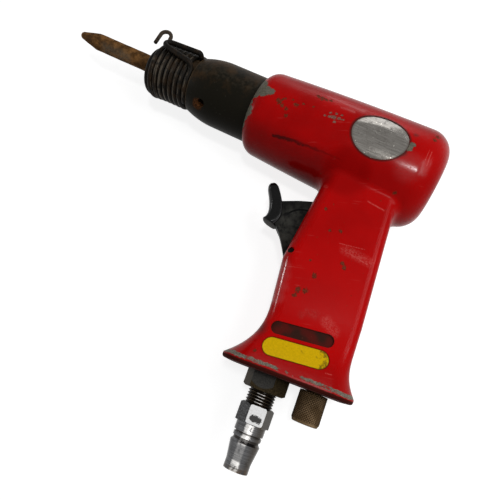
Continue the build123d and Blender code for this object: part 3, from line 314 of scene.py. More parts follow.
# %% Wire path
COIL_RADIUS, MOUTH_RADIUS = 13.95, 10.4
COIL_PITCH, COIL_REACH = 3.1, 39.5
COIL_START, COIL_END, COIL_STEP = -442, 2600, 2
COIL_FRONT = COIL_REACH + COIL_PITCH * (COIL_END - COIL_START) / 360
CLOSING = 540
SAG, SAG_REACH = 1.5, 50
LOOP_LEAVES, LOOP_JOINS = -366, -309
LOOP_RADIUS = 17.25
LOOP = np.array([(43.7, 7), (57, 16), (60.2, 25), (57, 34), (41.9, 39)])  # reach and angle
HOOK = [(-69.1, 16.5, -1.2), (-70.3, 20.5, -0.6), (-73.5, 23.7, -0.3), (-76.7, 20.5, 0), (-76.7, 14, 0)]
HOOK_WAYS = [(-1.2, 4, 0.6), (0, 1, 0), (-1, 0, 0), (0, -1, 0), (0, -1, 0)]
BEND_STEPS = 24
WAY_STEP = 0.5


def around(reach, radius, angle):
    """Point ahead of the front face by the reach, on a circle of the radius, at degrees from the top side."""
    turn = np.radians(angle)
    return np.stack(np.broadcast_arrays(-reach, radius * np.sin(turn), radius * np.cos(turn)), axis=-1)


def coil(angle):
    """Reach grows by the pitch each turn, the last turns close in by a square, and the front hangs by another."""
    reach = COIL_REACH + COIL_PITCH * (angle - COIL_START) / 360
    closing = np.maximum((angle - COIL_END + CLOSING) / CLOSING, 0) ** 2
    hang = SAG * np.maximum((reach - SAG_REACH) / (COIL_FRONT - SAG_REACH), 0) ** 2
    return around(reach, COIL_RADIUS + (MOUTH_RADIUS - COIL_RADIUS) * closing, angle) - hang[..., None] * RISE


def bend(points, ways):
    """Cubic bends through points. Each end speed is the chord over the squared cosine of a quarter of the turn."""
    points, ways = np.array(points, float), unit(np.array(ways, float))
    chord = np.linalg.norm(np.diff(points, axis=0), axis=1)
    turn = np.arccos(np.clip((ways[1:] * ways[:-1]).sum(1), -1, 1))
    speed = (chord / np.cos(turn / 4) ** 2)[:, None, None]
    t = np.linspace(0, 1, BEND_STEPS, endpoint=False)[None, :, None]
    start, end, leave, arrive = points[:-1, None], points[1:, None], ways[:-1, None], ways[1:, None]
    curve = (2 * t**3 - 3 * t**2 + 1) * start + (3 * t**2 - 2 * t**3) * end
    curve = curve + speed * ((t**3 - 2 * t**2 + t) * leave + (t**3 - t**2) * arrive)
    return curve.reshape(-1, 3)


kinks = np.array([LOOP_LEAVES, LOOP_JOINS, COIL_END])
leaves, joins, ends = coil(kinks)
way_out, way_in, way_on = coil(kinks + WAY_STEP) - coil(kinks - WAY_STEP)
near_foot, near_end, loop_tip, far_end, far_foot = around(LOOP[:, 0], LOOP_RADIUS, LOOP[:, 1])
near_way, far_way = near_end - near_foot, far_foot - far_end
loop = bend(
    [leaves, near_foot, near_end, loop_tip, far_end, far_foot, joins],
    [way_out, near_way, near_way, far_end - near_end, far_way, far_way, way_in],
)
hook = bend([ends, *HOOK], [way_on, *HOOK_WAYS])
rear_coil = coil(np.arange(COIL_START, LOOP_LEAVES, COIL_STEP))
front_coil = coil(np.arange(LOOP_JOINS, COIL_END, COIL_STEP))
path = np.concatenate([rear_coil, loop, front_coil, hook, HOOK[-1:]])
print("wire path of", len(path), "points")

# %% [markdown]
# ## The wire along its path
# A round section is carried along the path, with its ends rounded over. One direction of the section points away from
# the barrel's axis on the coil, and to the tool's side on the hook, so it never twists. The hook is drawn thinner.

# %% Retainer wire
WIRE, HOOK_WIRE, WIRE_SIDES = 2.95, 2.3, 20
END_ROUND = 0.3

on_hook = np.clip((np.arange(len(path)) - (len(path) - len(hook) - 1)) / BEND_STEPS, 0, 1)[:, None]
way = unit(np.gradient(path, axis=0))
side = (1 - on_hook) * unit(path * (0, 1, 1)) + on_hook * UP
side = unit(side - (side * way).sum(1)[:, None] * way)
turn = round_turn(WIRE_SIDES)[None, :, None]
ring = np.cos(turn) * side[:, None] + np.sin(turn) * np.cross(way, side)[:, None]
thick = (WIRE + (HOOK_WIRE - WIRE) * on_hook) / 2
tube = path[:, None] + thick[:, None] * ring
rear_end, front_end = path[0] - END_ROUND * way[0], path[-1] + END_ROUND * way[-1]
rear_cap = [rear_end + 0 * ring[0], rear_end + (WIRE / 2 - END_ROUND) * ring[0]]
front_cap = [front_end + (HOOK_WIRE / 2 - END_ROUND) * ring[-1], front_end + 0 * ring[-1]]
retainer_wire = grid_piece("retainer_wire", np.concatenate([rear_cap, tube, front_cap]), "housing")
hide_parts("retainer_spring")

# %% [markdown]
# ## The bit
# The bit is a round bar with a short blunt point, a collar for the retainer and a shank inside the barrel. It is
# turned, so a profile of reach and radius goes once round the barrel's axis. A faint wave makes the rolled bar
# uneven.

# %% Bit
BIT_CORNERS = np.array([
    (107.8, 4.75), (57.3, 4.75), (57.3, 10), (56.3, 11), (54.3, 11), (53.3, 10), (53.3, 5.1), (27, 5.1),
    (26, 4.1), (26, 0),
])
BIT_REACH, POINT_ROUND, POINT_TURN = 120.4, 2.2, 79
POINT_ROWS, BIT_ROWS, BIT_SIDES = 12, 420, 72
WAVE, WAVE_LOBES, WAVE_TWIST, WAVE_BEAT = 0.05, 3, 0.5, 0.23
WAVE_FROM, WAVE_FADE_IN, WAVE_FADE_OUT = 60, 10, 5


def resampled(corners, count):
    """Points at even distances along straight runs between corners."""
    gone = np.concatenate([[0], np.cumsum(np.linalg.norm(np.diff(corners, axis=0), axis=1))])
    even = np.linspace(0, gone[-1], count)
    return np.stack([np.interp(even, gone, corners[:, k]) for k in range(2)], axis=-1)


turn = np.radians(np.linspace(0, POINT_TURN, POINT_ROWS))
point = np.stack([BIT_REACH - POINT_ROUND * (1 - np.cos(turn)), POINT_ROUND * np.sin(turn)], axis=-1)
profile = resampled(np.concatenate([point, BIT_CORNERS]), BIT_ROWS)
reach, radius = profile[:, :1], profile[:, 1:]
degrees = np.degrees(round_turn(BIT_SIDES))[None, :]
uneven = WAVE * np.sin(np.radians(WAVE_LOBES * degrees) + WAVE_TWIST * reach) * np.sin(WAVE_BEAT * reach)
bared = np.clip((reach - WAVE_FROM) / WAVE_FADE_IN, 0, 1) * np.clip((BIT_REACH - reach) / WAVE_FADE_OUT, 0, 1)
bit = grid_piece("bit", around(reach, radius + uneven * bared, degrees), "chisel")
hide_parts("chisel")

# %% [markdown]
# ## The trigger's pad
# The finger rests on a curved pad, rounded in front, flat behind and cut off at its foot. A bent cube would need many
# loops for that, so a section of changing size and tilt is carried along a parabola.

# %% Trigger pad
PIVOT = np.array([53.86, -65.64, 0])
PAD_HORN, PAD_MIDDLE, PAD_FOOT = np.array([  # ahead of the pivot, above it, half thickness, tilt in degrees
    (27.3, 31, 2.7, -40), (18.7, 19.4, 3.6, -21), (18.2, 11.5, 4.1, 8),
])
PAD_HALF_WIDTH, HORN_SHARE, FOOT_ROUND = 5.2, 0.13, 0.7
HORN_ROWS, PAD_ROWS, PAD_SIDES = 16, 60, 96
FOOT_TURNS = np.radians([30, 60, 90])
FRONT_POWER, REAR_POWER, FOOT_POWER, FOOT_FROM = 0.8, 0.32, 0.75, 0.7


def powered(wave, power):
    """The wave's size raised to a power, with its sign kept: below 1 it squares a circle."""
    return np.sign(wave) * np.abs(wave) ** power


horn_rows, pad_rows = np.linspace(0, 1, HORN_ROWS) ** 2 * HORN_SHARE, np.linspace(HORN_SHARE, 1, PAD_ROWS)[1:]
foot_rows = len(FOOT_TURNS) + 1
share = np.concatenate([horn_rows, pad_rows, np.ones(foot_rows)])
size = np.sqrt(1 - (1 - np.minimum(share / HORN_SHARE, 1)) ** 2)
size[-foot_rows:] = np.append(1 - FOOT_ROUND * (1 - np.cos(FOOT_TURNS)) / PAD_FOOT[2], 0)
below = np.zeros_like(share)
below[-foot_rows:] = FOOT_ROUND * np.append(np.sin(FOOT_TURNS), 1)
s = share[:, None]  # the station is a parabola through the three at the shares 0, a half and 1
station = (1 - s) * (1 - 2 * s) * PAD_HORN + 4 * s * (1 - s) * PAD_MIDDLE + s * (2 * s - 1) * PAD_FOOT
tilt = np.radians(station[:, 3:])
across = np.cos(tilt) * AHEAD + np.sin(tilt) * RISE
middle = PIVOT + station[:, :1] * AHEAD + (station[:, 1:2] - below[:, None]) * RISE
angle = round_turn(PAD_SIDES)[None, :]
near_foot = np.clip((s - FOOT_FROM) / (1 - FOOT_FROM), 0, 1)
power = np.where(np.cos(angle) > 0, FRONT_POWER, REAR_POWER + (FOOT_POWER - REAR_POWER) * near_foot)
forward_part = station[:, 2:3] * powered(np.cos(angle), power)
width_part = PAD_HALF_WIDTH * powered(np.sin(angle), power)
section = forward_part[..., None] * across[:, None] + width_part[..., None] * UP
trigger_pad = grid_piece("trigger_pad", middle[:, None] + size[:, None, None] * section, "trigger")
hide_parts("trigger")

# %% [markdown]
# ## The trigger's web
# The web behind the pad is a slab with a shallow round recess. A cut-out plate would leave hard corners, so its
# outline is softened by averaging neighbours, and each face is drawn out from the hole for its pin to that outline.

# %% Trigger web
WEB_CORNERS = np.array([
    (6.6, 2.9), (9.3, 6.2), (11.1, 8.2), (14.6, 11), (18, 13.8), (19.5, 22.5), (9.8, 27.6), (2.4, 30.7),
    (-3.6, 31), (-13.1, 8.6), (-14.5, -1.3), (-2.4, -3), (1.2, -3.6), (3.7, -1.2), (6.6, 2.9),
])
WEB_POINTS, WEB_NEIGHBOURS, WEB_ROWS = 241, range(-3, 4), 60
WEB_HALF_WIDTH, WEB_HOLE = 4.2, 1.62
EDGE_FROM, EDGE_MIDDLE, EDGE_DROP = 0.985, 0.997, 0.4
DISC_AHEAD, DISC_RISE, DISC_RADIUS, DISC_DEPTH, DISC_SLOPE = 2.2, 14.6, 10.2, 0.5, 0.5

outline = resampled(WEB_CORNERS, WEB_POINTS)[:-1]
outline = np.mean([np.roll(outline, k, axis=0) for k in WEB_NEIGHBOURS], axis=0)
hole = WEB_HOLE * unit(outline)
steps = np.concatenate([np.linspace(0, EDGE_FROM, WEB_ROWS), [EDGE_MIDDLE, 1]])
plan = hole + steps[:, None, None] * (outline - hole)
from_disc = np.linalg.norm(plan - (DISC_AHEAD, DISC_RISE), axis=-1)
recess = DISC_DEPTH * np.clip((DISC_RADIUS - from_disc) / DISC_SLOPE, 0, 1)
rounding = EDGE_DROP * np.clip((steps - EDGE_FROM) / (1 - EDGE_FROM), 0, 1) ** 2
lift = (WEB_HALF_WIDTH - rounding[:, None] - recess)[..., None] * UP
face = PIVOT + plan[..., :1] * AHEAD + plan[..., 1:] * RISE
web = np.concatenate([face + lift, (face - lift)[::-1]])
grid_piece("trigger_web", web, "trigger", rows_close=True)

# %% [markdown]
# ## Pipe thread of the air plug
# Between the bush and the plug's hex a few turns of pipe thread show. A bump map would leave its edge smooth, so it
# is a sleeve over the plain shank: the radius rises and falls like a worn triangle with depth plus angle.

# %% Pipe thread
THREAD_TOP, THREAD_END, THREAD_PITCH = 137.2, 143.9, 1.337
ROOT_RADIUS, CREST_RADIUS, SLEEVE_RADIUS = 5.95, 6.58, 5.7
THREAD_CLEAR, THREAD_FADE = 0.02, 0.5
TOOTH_SLOPE, TOOTH_ROOT = 1.5, 0.25
THREAD_ROWS, THREAD_SIDES = 97, 96


def across_grip(depth, back, radius, angle):
    """Point on a circle about a line along the grip: depth down it, the line's distance back, radius and angle."""
    depth, radius, angle = np.broadcast_arrays(depth, radius, angle)
    side = np.cos(angle)[..., None] * BACK + np.sin(angle)[..., None] * UP
    return depth[..., None] * DOWN + back * BACK + radius[..., None] * side


def sleeve(depth, back, outer, inner, angle):
    """Closed sleeve about a line along the grip: down its outside, whose radius varies, and up its plain inside."""
    return np.concatenate([across_grip(depth, back, outer, angle), across_grip(depth[::-1], back, inner, angle)])


def zigzag(count):
    """Triangle wave of a count: 1 at whole numbers and 0 halfway."""
    return np.abs(count % 1 * 2 - 1)


depth = np.linspace(THREAD_TOP, THREAD_END, THREAD_ROWS)[:, None]
angle = round_turn(THREAD_SIDES)[None, :]
fade = np.clip(np.minimum(depth - THREAD_TOP, THREAD_END - depth) / THREAD_FADE, 0, 1)
tooth = np.clip(TOOTH_SLOPE * zigzag(depth / THREAD_PITCH + angle / (2 * np.pi)) - TOOTH_ROOT, 0, 1) * fade
radius = ROOT_RADIUS + THREAD_CLEAR + (CREST_RADIUS - ROOT_RADIUS) * tooth
thread = sleeve(depth, INLET_BACK, radius, SLEEVE_RADIUS, angle)
grid_piece("plug_thread", thread, "housing", rows_close=True)

# %% [markdown]
# ## Knurl of the regulator's knob
# The knob is gripped with greasy fingers, so it has a diamond knurl. Two families of grooves wind round it in
# opposite directions, and the height is the lower of the two waves. It fades out before the rounded lower end.

# %% Knurl
KNURL_TOP, KNURL_END, KNOB_RADIUS = 129.8, 143.2, 6.2
DIAMONDS, DIAMOND_STEPS, KNURL_ROWS = 32, 8, 107
KNURL_HEIGHT, KNURL_SLOPE, KNURL_FADE = 0.4, 1.6, 0.6
KNURL_CLEAR, KNURL_SUNK = 0.01, 0.3

depth = np.linspace(KNURL_TOP, KNURL_END, KNURL_ROWS)[:, None]
angle = round_turn(DIAMONDS * DIAMOND_STEPS)[None, :]
around_count = DIAMONDS * angle / (2 * np.pi)
along_count = depth / (2 * np.pi * KNOB_RADIUS / DIAMONDS)
crossed = 1 - np.maximum(zigzag(around_count + along_count), zigzag(around_count - along_count))
fade = np.clip((KNURL_END - depth) / KNURL_FADE, 0, 1)
height = KNURL_HEIGHT * np.clip(KNURL_SLOPE * crossed, 0, 1) * fade
knurl = sleeve(depth, KNOB_BACK, KNOB_RADIUS + KNURL_CLEAR + height, KNOB_RADIUS - KNURL_SUNK, angle)
grid_piece("knob_knurl", knurl, "regulator", rows_close=True)

# %% [markdown]
# ## Paper sticker on the plug
# One flat of the plug's hex carries a small white paper sticker, soiled and blank here. It is a thin closed slab
# whose outline is a rounded square, a superellipse, with its middle points as poles.

# %% Sticker
HEX_HALF = 7
FLAT_TURN = math.radians(81)
STICKER_DEPTH, STICKER_LENGTH, STICKER_WIDTH, STICKER_THICK = 148.1, 8.3, 7.8, 0.1
STICKER_SIDES, SQUARENESS = 64, 0.22
SPREAD = np.array([0, 0.5, 0.97, 1, 1, 0.5, 0])[:, None, None]
LIFT = np.array([1, 1, 1, 0.7, -0.5, -0.5, -0.5])[:, None, None]

flat_normal = math.cos(FLAT_TURN) * BACK + math.sin(FLAT_TURN) * UP
flat_side = np.cross(flat_normal, DOWN)
angle = round_turn(STICKER_SIDES)
square = powered(np.stack([np.cos(angle), np.sin(angle)], axis=-1), SQUARENESS)
edge = square @ np.array([STICKER_LENGTH / 2 * DOWN, STICKER_WIDTH / 2 * flat_side])
sticker_middle = STICKER_DEPTH * DOWN + INLET_BACK * BACK + HEX_HALF * flat_normal
sticker = sticker_middle + SPREAD * edge + STICKER_THICK * LIFT * flat_normal
grid_piece("plug_sticker", sticker, "housing")

# %% [markdown]
# ## Starting a finish
# Each finish starts in the same way: a Principled shader, and the place on the tool in millimetres from its front
# face. Marks that a photograph shows at a certain spot, such as a chip, are then distances from points and lines.
# Colours are laid over each other like coats of paint, each through its own mask.

# %% Finish helpers
def begin(name):
    """New material, and the place on the tool in millimetres."""
    material = bpy.data.materials.new(name)
    material.use_nodes = True
    flow = Flow(material.node_tree)
    metres = flow.node("TexCoord", {}, "Object")
    return material, flow.vector("MULTIPLY_ADD", metres, (1 / MM,) * 3, tuple(-FRONT / MM))


def dress(material, colour, roughness, height, depth, **others):
    """Set or link the shader's sockets, others named with _ for spaces. A height of 1 is the depth in millimetres."""
    normal = height.node("Bump", {"Height": height, "Distance": depth * MM})
    inputs = material.node_tree.nodes["Principled BSDF"].inputs
    for name, value in {"Base_Color": colour, "Roughness": roughness, "Normal": normal, **others}.items():
        socket = inputs[name.replace("_", " ")]
        if isinstance(value, Flow):
            value.tree.links.new(value.socket, socket)
        else:
            socket.default_value = value
    return material


def layered(colour, *coats):
    """A first colour with coats over it, each a mask and a colour."""
    return reduce(lambda below, coat: coat[0].tint(below, coat[1]), coats, colour)


def stroke(place, start, end):
    """Distance from a straight line between two points: from the nearest point of it."""
    run = np.subtract(end, start)
    local = place.vector("SUBTRACT", place, tuple(start))
    share = local.math("MULTIPLY", local.dot(run), 1 / float(run @ run), use_clamp=True)
    nearest = share.node("VectorMath", {0: tuple(run), "Scale": share}, operation="SCALE")
    return local.vector("DISTANCE", local, nearest, out=1)


def spots(place, points):
    """Distance from the nearest round mark, in its own radii. Each has x and y on the left side, and its radius."""
    return reduce(Flow.low, (place.away((x, y, 0)) / radius for x, y, radius in points))


def runs(place, lines):
    """Distance from the nearest long mark, in its own half widths. Each runs from x, y to x, y on the left side."""
    return reduce(Flow.low, (stroke(place, (ax, ay, 0), (bx, by, 0)) / half for ax, ay, bx, by, half in lines))


def about_grip(place, back):
    """Distances from a line along the grip: behind it, to the side of it, and straight out by Pythagoras."""
    behind, high = place.dot(BACK) - back, place.dot(UP)
    squares = behind * behind + high * high
    return behind, high, squares.math("SQRT", squares)


def paint(material, *names):
    """Give solids and pieces this material alone."""
    for name in names:
        data = (nodes[name] if name in nodes else bpy.data.objects[name]).data
        data.materials.clear()
        data.materials.append(material)
    print(material.name, "on", ", ".join(names))


# %% [markdown]
# ## Marks on the enamel
# The casting is aluminium under gloss enamel that years of work have chipped. A painted picture of the marks would
# tie them to one resolution, so a round mark is a place on the left side with a radius, and a long one runs between
# two places with a half width.

# %% Marks
BARE_CHIPS = [
    (1, 6, 1.8), (2, 3.4, 2.8), (3, 0.2, 3.2), (6, 0.6, 2.6), (8.2, 0.8, 1.9), (5, -2, 1.7), (1.6, -2.6, 1.9),
    (0.6, -6.4, 1.1), (0.9, -9.4, 1.6), (1.4, -11.4, 2), (0.5, -13.8, 1.3), (0.4, -16.2, 1), (81.9, 2.4, 1.5),
    (81.5, 0.2, 1.5),
]
BROWN_CHIPS = [
    (13.8, -2, 1.3), (15.2, -3, 1.4), (17, -4, 1.2), (19.4, -4.8, 1.1), (15.8, -0.9, 0.9), (17, 0.2, 0.8),
    (23.2, -1.1, 1.4), (21, -7.6, 1.2), (20.4, 1.1, 0.8), (26.2, 0.9, 0.8), (31.4, 1.4, 0.7), (30.6, 9, 1.3),
    (32.8, 8.4, 1.5), (35, 8.4, 1.2), (37.4, 9.2, 1), (77.9, -61, 1.2), (79.4, -62.6, 1.3), (65.6, -81.2, 1.6),
    (68.6, -80.2, 1.5), (65.4, -84.2, 1.2), (69.2, -72, 1.4), (64.2, -66.4, 0.8), (66, -49.2, 0.8),
    (70.4, -47.3, 1), (59.4, -40.5, 0.9), (84.7, -19.2, 0.9), (90.7, 13.6, 1.6), (90.1, 10.4, 1.2),
    (61.9, -114.9, 0.8),
]
STAR = [
    (43.1, 0.1, 1.3), (41, -0.3, 1), (38.8, -0.7, 0.8), (45.3, 0.6, 1.1), (47.4, 1, 0.8), (43.2, 2.6, 0.7),
    (44.3, -2, 0.8), (40.2, 2, 0.7), (46, 2.8, 0.7),
]
# Dull places: the enamel is matt there, and its red is also darkened as painted shade.
DULL_SHADED_SPOTS = [(60, -20, 14)]
POLISHED = [(85, -7.6, 9), (55.2, -74.5, 4.5), (56.5, -78.5, 5), (57.8, -83.4, 5), (58.7, -88.5, 5)]
SMUDGES = [(72.2, -90.8, 2), (74.2, -88.6, 2.2), (77.2, -88, 2.2)]
SMEARS = [(80.2, -3.2, 1.8), (81.3, 8.6, 1.6), (58.5, -104.4, 3.6)]
CREASE = [(18.4, -17.2, 30, -16.3, 0.75), (30, -16.3, 46, -15.9, 0.7), (46, -15.9, 62, -16.3, 0.5)]
# Pink streaks along the top of the body: partly scuffed paint, partly a painted highlight.
SCUFFS_AND_HIGHLIGHT = [(36, 12, 53, 11.3, 2.4), (44, 8, 50, 7.5, 1.3)]
# Pale hazes: worn paint, and in the second, on the lower rear of the grip, a painted sheen.
HAZES_AND_SHEEN = [(76, -54.5, 88.3, -55, 2.8), (83.3, -88.3, 88.3, -91, 3.2), (53.6, -29.5, 54.6, -29.7, 0.9)]
# Fine scratches; the run from 75.5, -28.1 is a painted highlight streak at the top of the grip.
SCRATCHES_AND_HIGHLIGHT = [
    (72.5, -52.9, 84, -50.4, 0.22), (79, -55.4, 88, -56.3, 0.2), (91.9, -4.2, 91.3, 3, 0.3),
    (90.3, -2.2, 89.9, 3.4, 0.2), (75.5, -28.1, 84, -28.9, 0.45), (92.5, -108.8, 95, -108.2, 0.3),
]
print(len(BARE_CHIPS + BROWN_CHIPS + STAR), "chips and", len(CREASE + SCUFFS_AND_HIGHLIGHT + HAZES_AND_SHEEN + SCRATCHES_AND_HIGHLIGHT), "long marks")

# %% [markdown]
# ## Red enamel
# Chips show bare metal at the front rim, behind the badge and along the base, and brown primer elsewhere. A place
# belongs to a mark when it is nearer than the mark's radius, and a noise added to that distance frays the edge. The
# moulded panel above the base is a long mark too, filled with grime.

# %% Red enamel
BADGE, BADGE_HALF = (66.8, 0.5, 0), (14, 11.25)
PANEL_MIDDLE = 108 * DOWN + 62 * BACK
PANEL_RADIUS, PANEL_HALF_RUN = 3, 11.25
LABEL_TURN = RAKE + math.radians(5)
LABEL_WAY = np.array([math.cos(LABEL_TURN), math.sin(LABEL_TURN), 0])
LEFT_SIDE = (4, 7)
RIM_LINE = 126.4
SCRATCH_LEAN = ((0.94, 0.34, 0), (-0.34, 0.94, 0))


def from_badge(place):
    """How far out of the badge's middle a place of the left side is: 1 on its elliptical edge."""
    centred = place.vector("SUBTRACT", place, BADGE).scaled((1 / BADGE_HALF[0], 1 / BADGE_HALF[1], 0))
    return centred.vector("LENGTH", centred, out=1)


def red_enamel():
    """Red with soft clouds, scratches, pink streaks and dirt, painted shade and highlights, and bare metal or brown
    primer where it has chipped.
    """
    material, place = begin("red_enamel")
    behind, rise, high, depth = (place.dot(axis) for axis in (REAR, RISE, UP, DOWN))
    fine, grit = place.noise(1.1, 4, 0.6), place.noise(2.6, 2)
    broken, flaky = place.noise(0.16, 4, 0.65), place.noise(0.95, 5, 0.75)
    frayed = flaky * 6.5 + grit * 2.4 - 4.45
    left = high.ease(*LEFT_SIDE)
    side, jagged = place.flat(), place.ragged(0.5, 1.6).flat()

    front_rim = (behind + fine * 2).ease(2, 1.2) * 0.8
    wavering = depth - RIM_LINE + broken * 2.4 - 1.2 + flaky * 1.2 - 0.6
    base_rim = wavering.between(-1.1, -0.8, 0.5, 0.8) * (place.noise(0.1, 3) + flaky * 0.4).ease(0.59, 0.65)
    metal = (spots(jagged, BARE_CHIPS) + frayed * 0.22).ease(1.04, 0.98) * left
    metal = metal.high(front_rim).high(base_rim)
    primer = (spots(jagged, BROWN_CHIPS) + frayed * 0.4).ease(0.84, 0.76) * left
    primer = primer.high(place.noise(0.9, 1).ease(0.76, 0.8) * 0.8)
    star = (spots(jagged, STAR) + frayed * 0.5).ease(0.9, 0.82) * left
    crease = runs(place.ragged(0.35, 2).flat(), CREASE).ease(1.2, 0.3) * left
    crease = crease * (behind * -0.012 + fine * 0.6).ease(-0.45, 0.05)

    streaks = place.scaled((0.06, 0.9, 0.9)).noise(1, 3)
    scuffs_and_highlight = runs(jagged, SCUFFS_AND_HIGHLIGHT).ease(1.2, 0.5) * (streaks + grit * 0.25).ease(0.55, 0.72) * left
    hazes_and_sheen = runs(side, HAZES_AND_SHEEN).ease(1.2, 0.2) * (grit * 0.6 + fine * 0.5).ease(0.45, 0.68) * left
    along, across = (place.dot(axis) for axis in SCRATCH_LEAN)
    leaning = place.node("CombineXYZ", {0: along * 0.05, 1: across * 1.7, 2: high * 0.05})
    hairlines = leaning.noise(1, 2).ease(0.66, 0.72) * place.noise(0.09, 2).ease(0.52, 0.64) * 0.6
    scratches = runs(place.ragged(0.3, 0.5).flat(), SCRATCHES_AND_HIGHLIGHT).ease(1.1, 0.4) * left * (grit + 0.3).ease(0.6, 0.9)
    scratches = hairlines.high(scratches)
    smudges = spots(jagged, SMUDGES).ease(1.4, 0.3) * grit.ease(0.3, 0.7) * left
    smears = spots(jagged, SMEARS).ease(1.3, 0.2) * left
    dull_and_shaded = spots(side, DULL_SHADED_SPOTS).ease(1, 0.6) * left
    polished = spots(side, POLISHED).ease(1, 0.3) * left * (grit + fine * 0.4).ease(0.45, 0.75)
    # Painted shade: darker red along the lower flank of the body, ahead of the grip.
    lower_flank_shade = rise.ease(-12, -19) * behind.ease(58, 44) * (0.6 + broken * 0.6)

    # Painted shade: a thin dark red ring round the badge, at the edge of its recess.
    badge_ring_shade = from_badge(place).ease(1.09, 1.03) * left
    run = PANEL_HALF_RUN * LABEL_WAY
    panel = stroke(side, PANEL_MIDDLE - run, PANEL_MIDDLE + run).ease(PANEL_RADIUS + 0.15, PANEL_RADIUS - 0.1) * left
    # Painted shade: the last strip of the rim above the base is near black, standing in for the base's dark
    # underside; it also dulls the gloss there.
    underside = (depth + broken * 0.8).ease(RIM_LINE + 1.3, RIM_LINE + 1.9)
    bare = fine.ease(0.3, 0.7).tint((0.07, 0.064, 0.045), (0.125, 0.113, 0.09))
    bare = (base_rim * grit.ease(0.45, 0.65) * 0.8).tint(bare, (0.28, 0.24, 0.2))
    colour = layered(
        place.noise(0.05, 3).ease(0.3, 0.7).tint((0.30, 0.0005, 0.0005), (0.385, 0.001, 0.001)),
        # Painted light: the red is lighter down the grip and fades back toward the flared base.
        (depth.between(20, 100, 108, 127) * 0.55, (0.46, 0.0012, 0.0012)),
        # Painted shade on the lower flank.
        (lower_flank_shade * 0.5, (0.10, 0.002, 0.002)),
        # Painted shade: darker red on the dull patch where the body meets the grip, and along the top of the body.
        (dull_and_shaded.high(rise.ease(10, 19)) * 0.4, (0.16, 0.001, 0.001)),
        # Scratches, with one painted highlight streak at the top of the grip.
        (scratches * 0.6, (0.56, 0.09, 0.08)),
        # Pale hazes: worn paint, partly a painted sheen.
        (hazes_and_sheen * 0.45, (0.56, 0.10, 0.09)),
        # Pink streaks: partly scuffed paint, partly a painted highlight.
        (scuffs_and_highlight * 0.7, (0.42, 0.07, 0.07)),
        (smudges * 0.5, fine.ease(0.3, 0.7).tint((0.2, 0.008, 0.006), (0.38, 0.05, 0.045))),
        (smears * 0.6, (0.07, 0.012, 0.01)),
        (badge_ring_shade * 0.75, (0.045, 0.006, 0.005)),
        (panel, place.noise(0.17, 1).ease(0.35, 0.7).tint((0.026, 0.009, 0.006), (0.072, 0.007, 0.005))),
        (crease * 0.85, (0.03, 0.001, 0.001)),
        (primer * 0.85, grit.ease(0.35, 0.65).tint((0.05, 0.01, 0.004), (0.125, 0.042, 0.02))),
        (star * 0.9, grit.ease(0.35, 0.6).tint((0.08, 0.024, 0.016), (0.2, 0.12, 0.095))),
        (metal, bare),
        (underside * 0.92, (0.014, 0.006, 0.004)),
    )
    wear = metal.high(primer).high(star).high(panel)
    rough = 0.2 + fine * 0.1 + wear * 0.3 + hazes_and_sheen * 0.15 + dull_and_shaded * 0.35 + underside * 0.5
    gloss = (1 - wear.high(dull_and_shaded).high(underside)) * (polished * 0.5 + 0.04)
    height = 0.6 + fine * 0.1 + grit * 0.06 - metal * 0.3 - primer * 0.15 - star * 0.15 - crease * 0.4
    return dress(
        material, colour, rough, height, 0.25,
        Metallic=metal * 0.3, Specular_IOR_Level=0.03, Coat_Weight=gloss, Coat_Roughness=0.16,
    )


paint(red_enamel(), "housing")

# %% [markdown]
# ## Blackened steel
# Barrel, bush and trigger pin were blackened. Handling has browned the barrel's shoulder, small pale specks show
# where the skin is pricked, and rust runs from the side port. One flat of the bush is rubbed grey, down to the arc of
# its chamfer, which is drawn as a parabola.

# %% Blackened steel
PORT = (-28.6, -13.3, 7.8)
SHOULDER_EDGE = (-38.9, -38.4, -37.9, -37)
BUSH_HALF = 9
BUSH_TURN = math.radians(98)
BUSH_FLAT = math.cos(BUSH_TURN) * BACK + math.sin(BUSH_TURN) * UP
BUSH_SIDE = np.cross(BUSH_FLAT, DOWN)
BUSH_ARC, BUSH_ARC_BEND = 136.4, 0.07


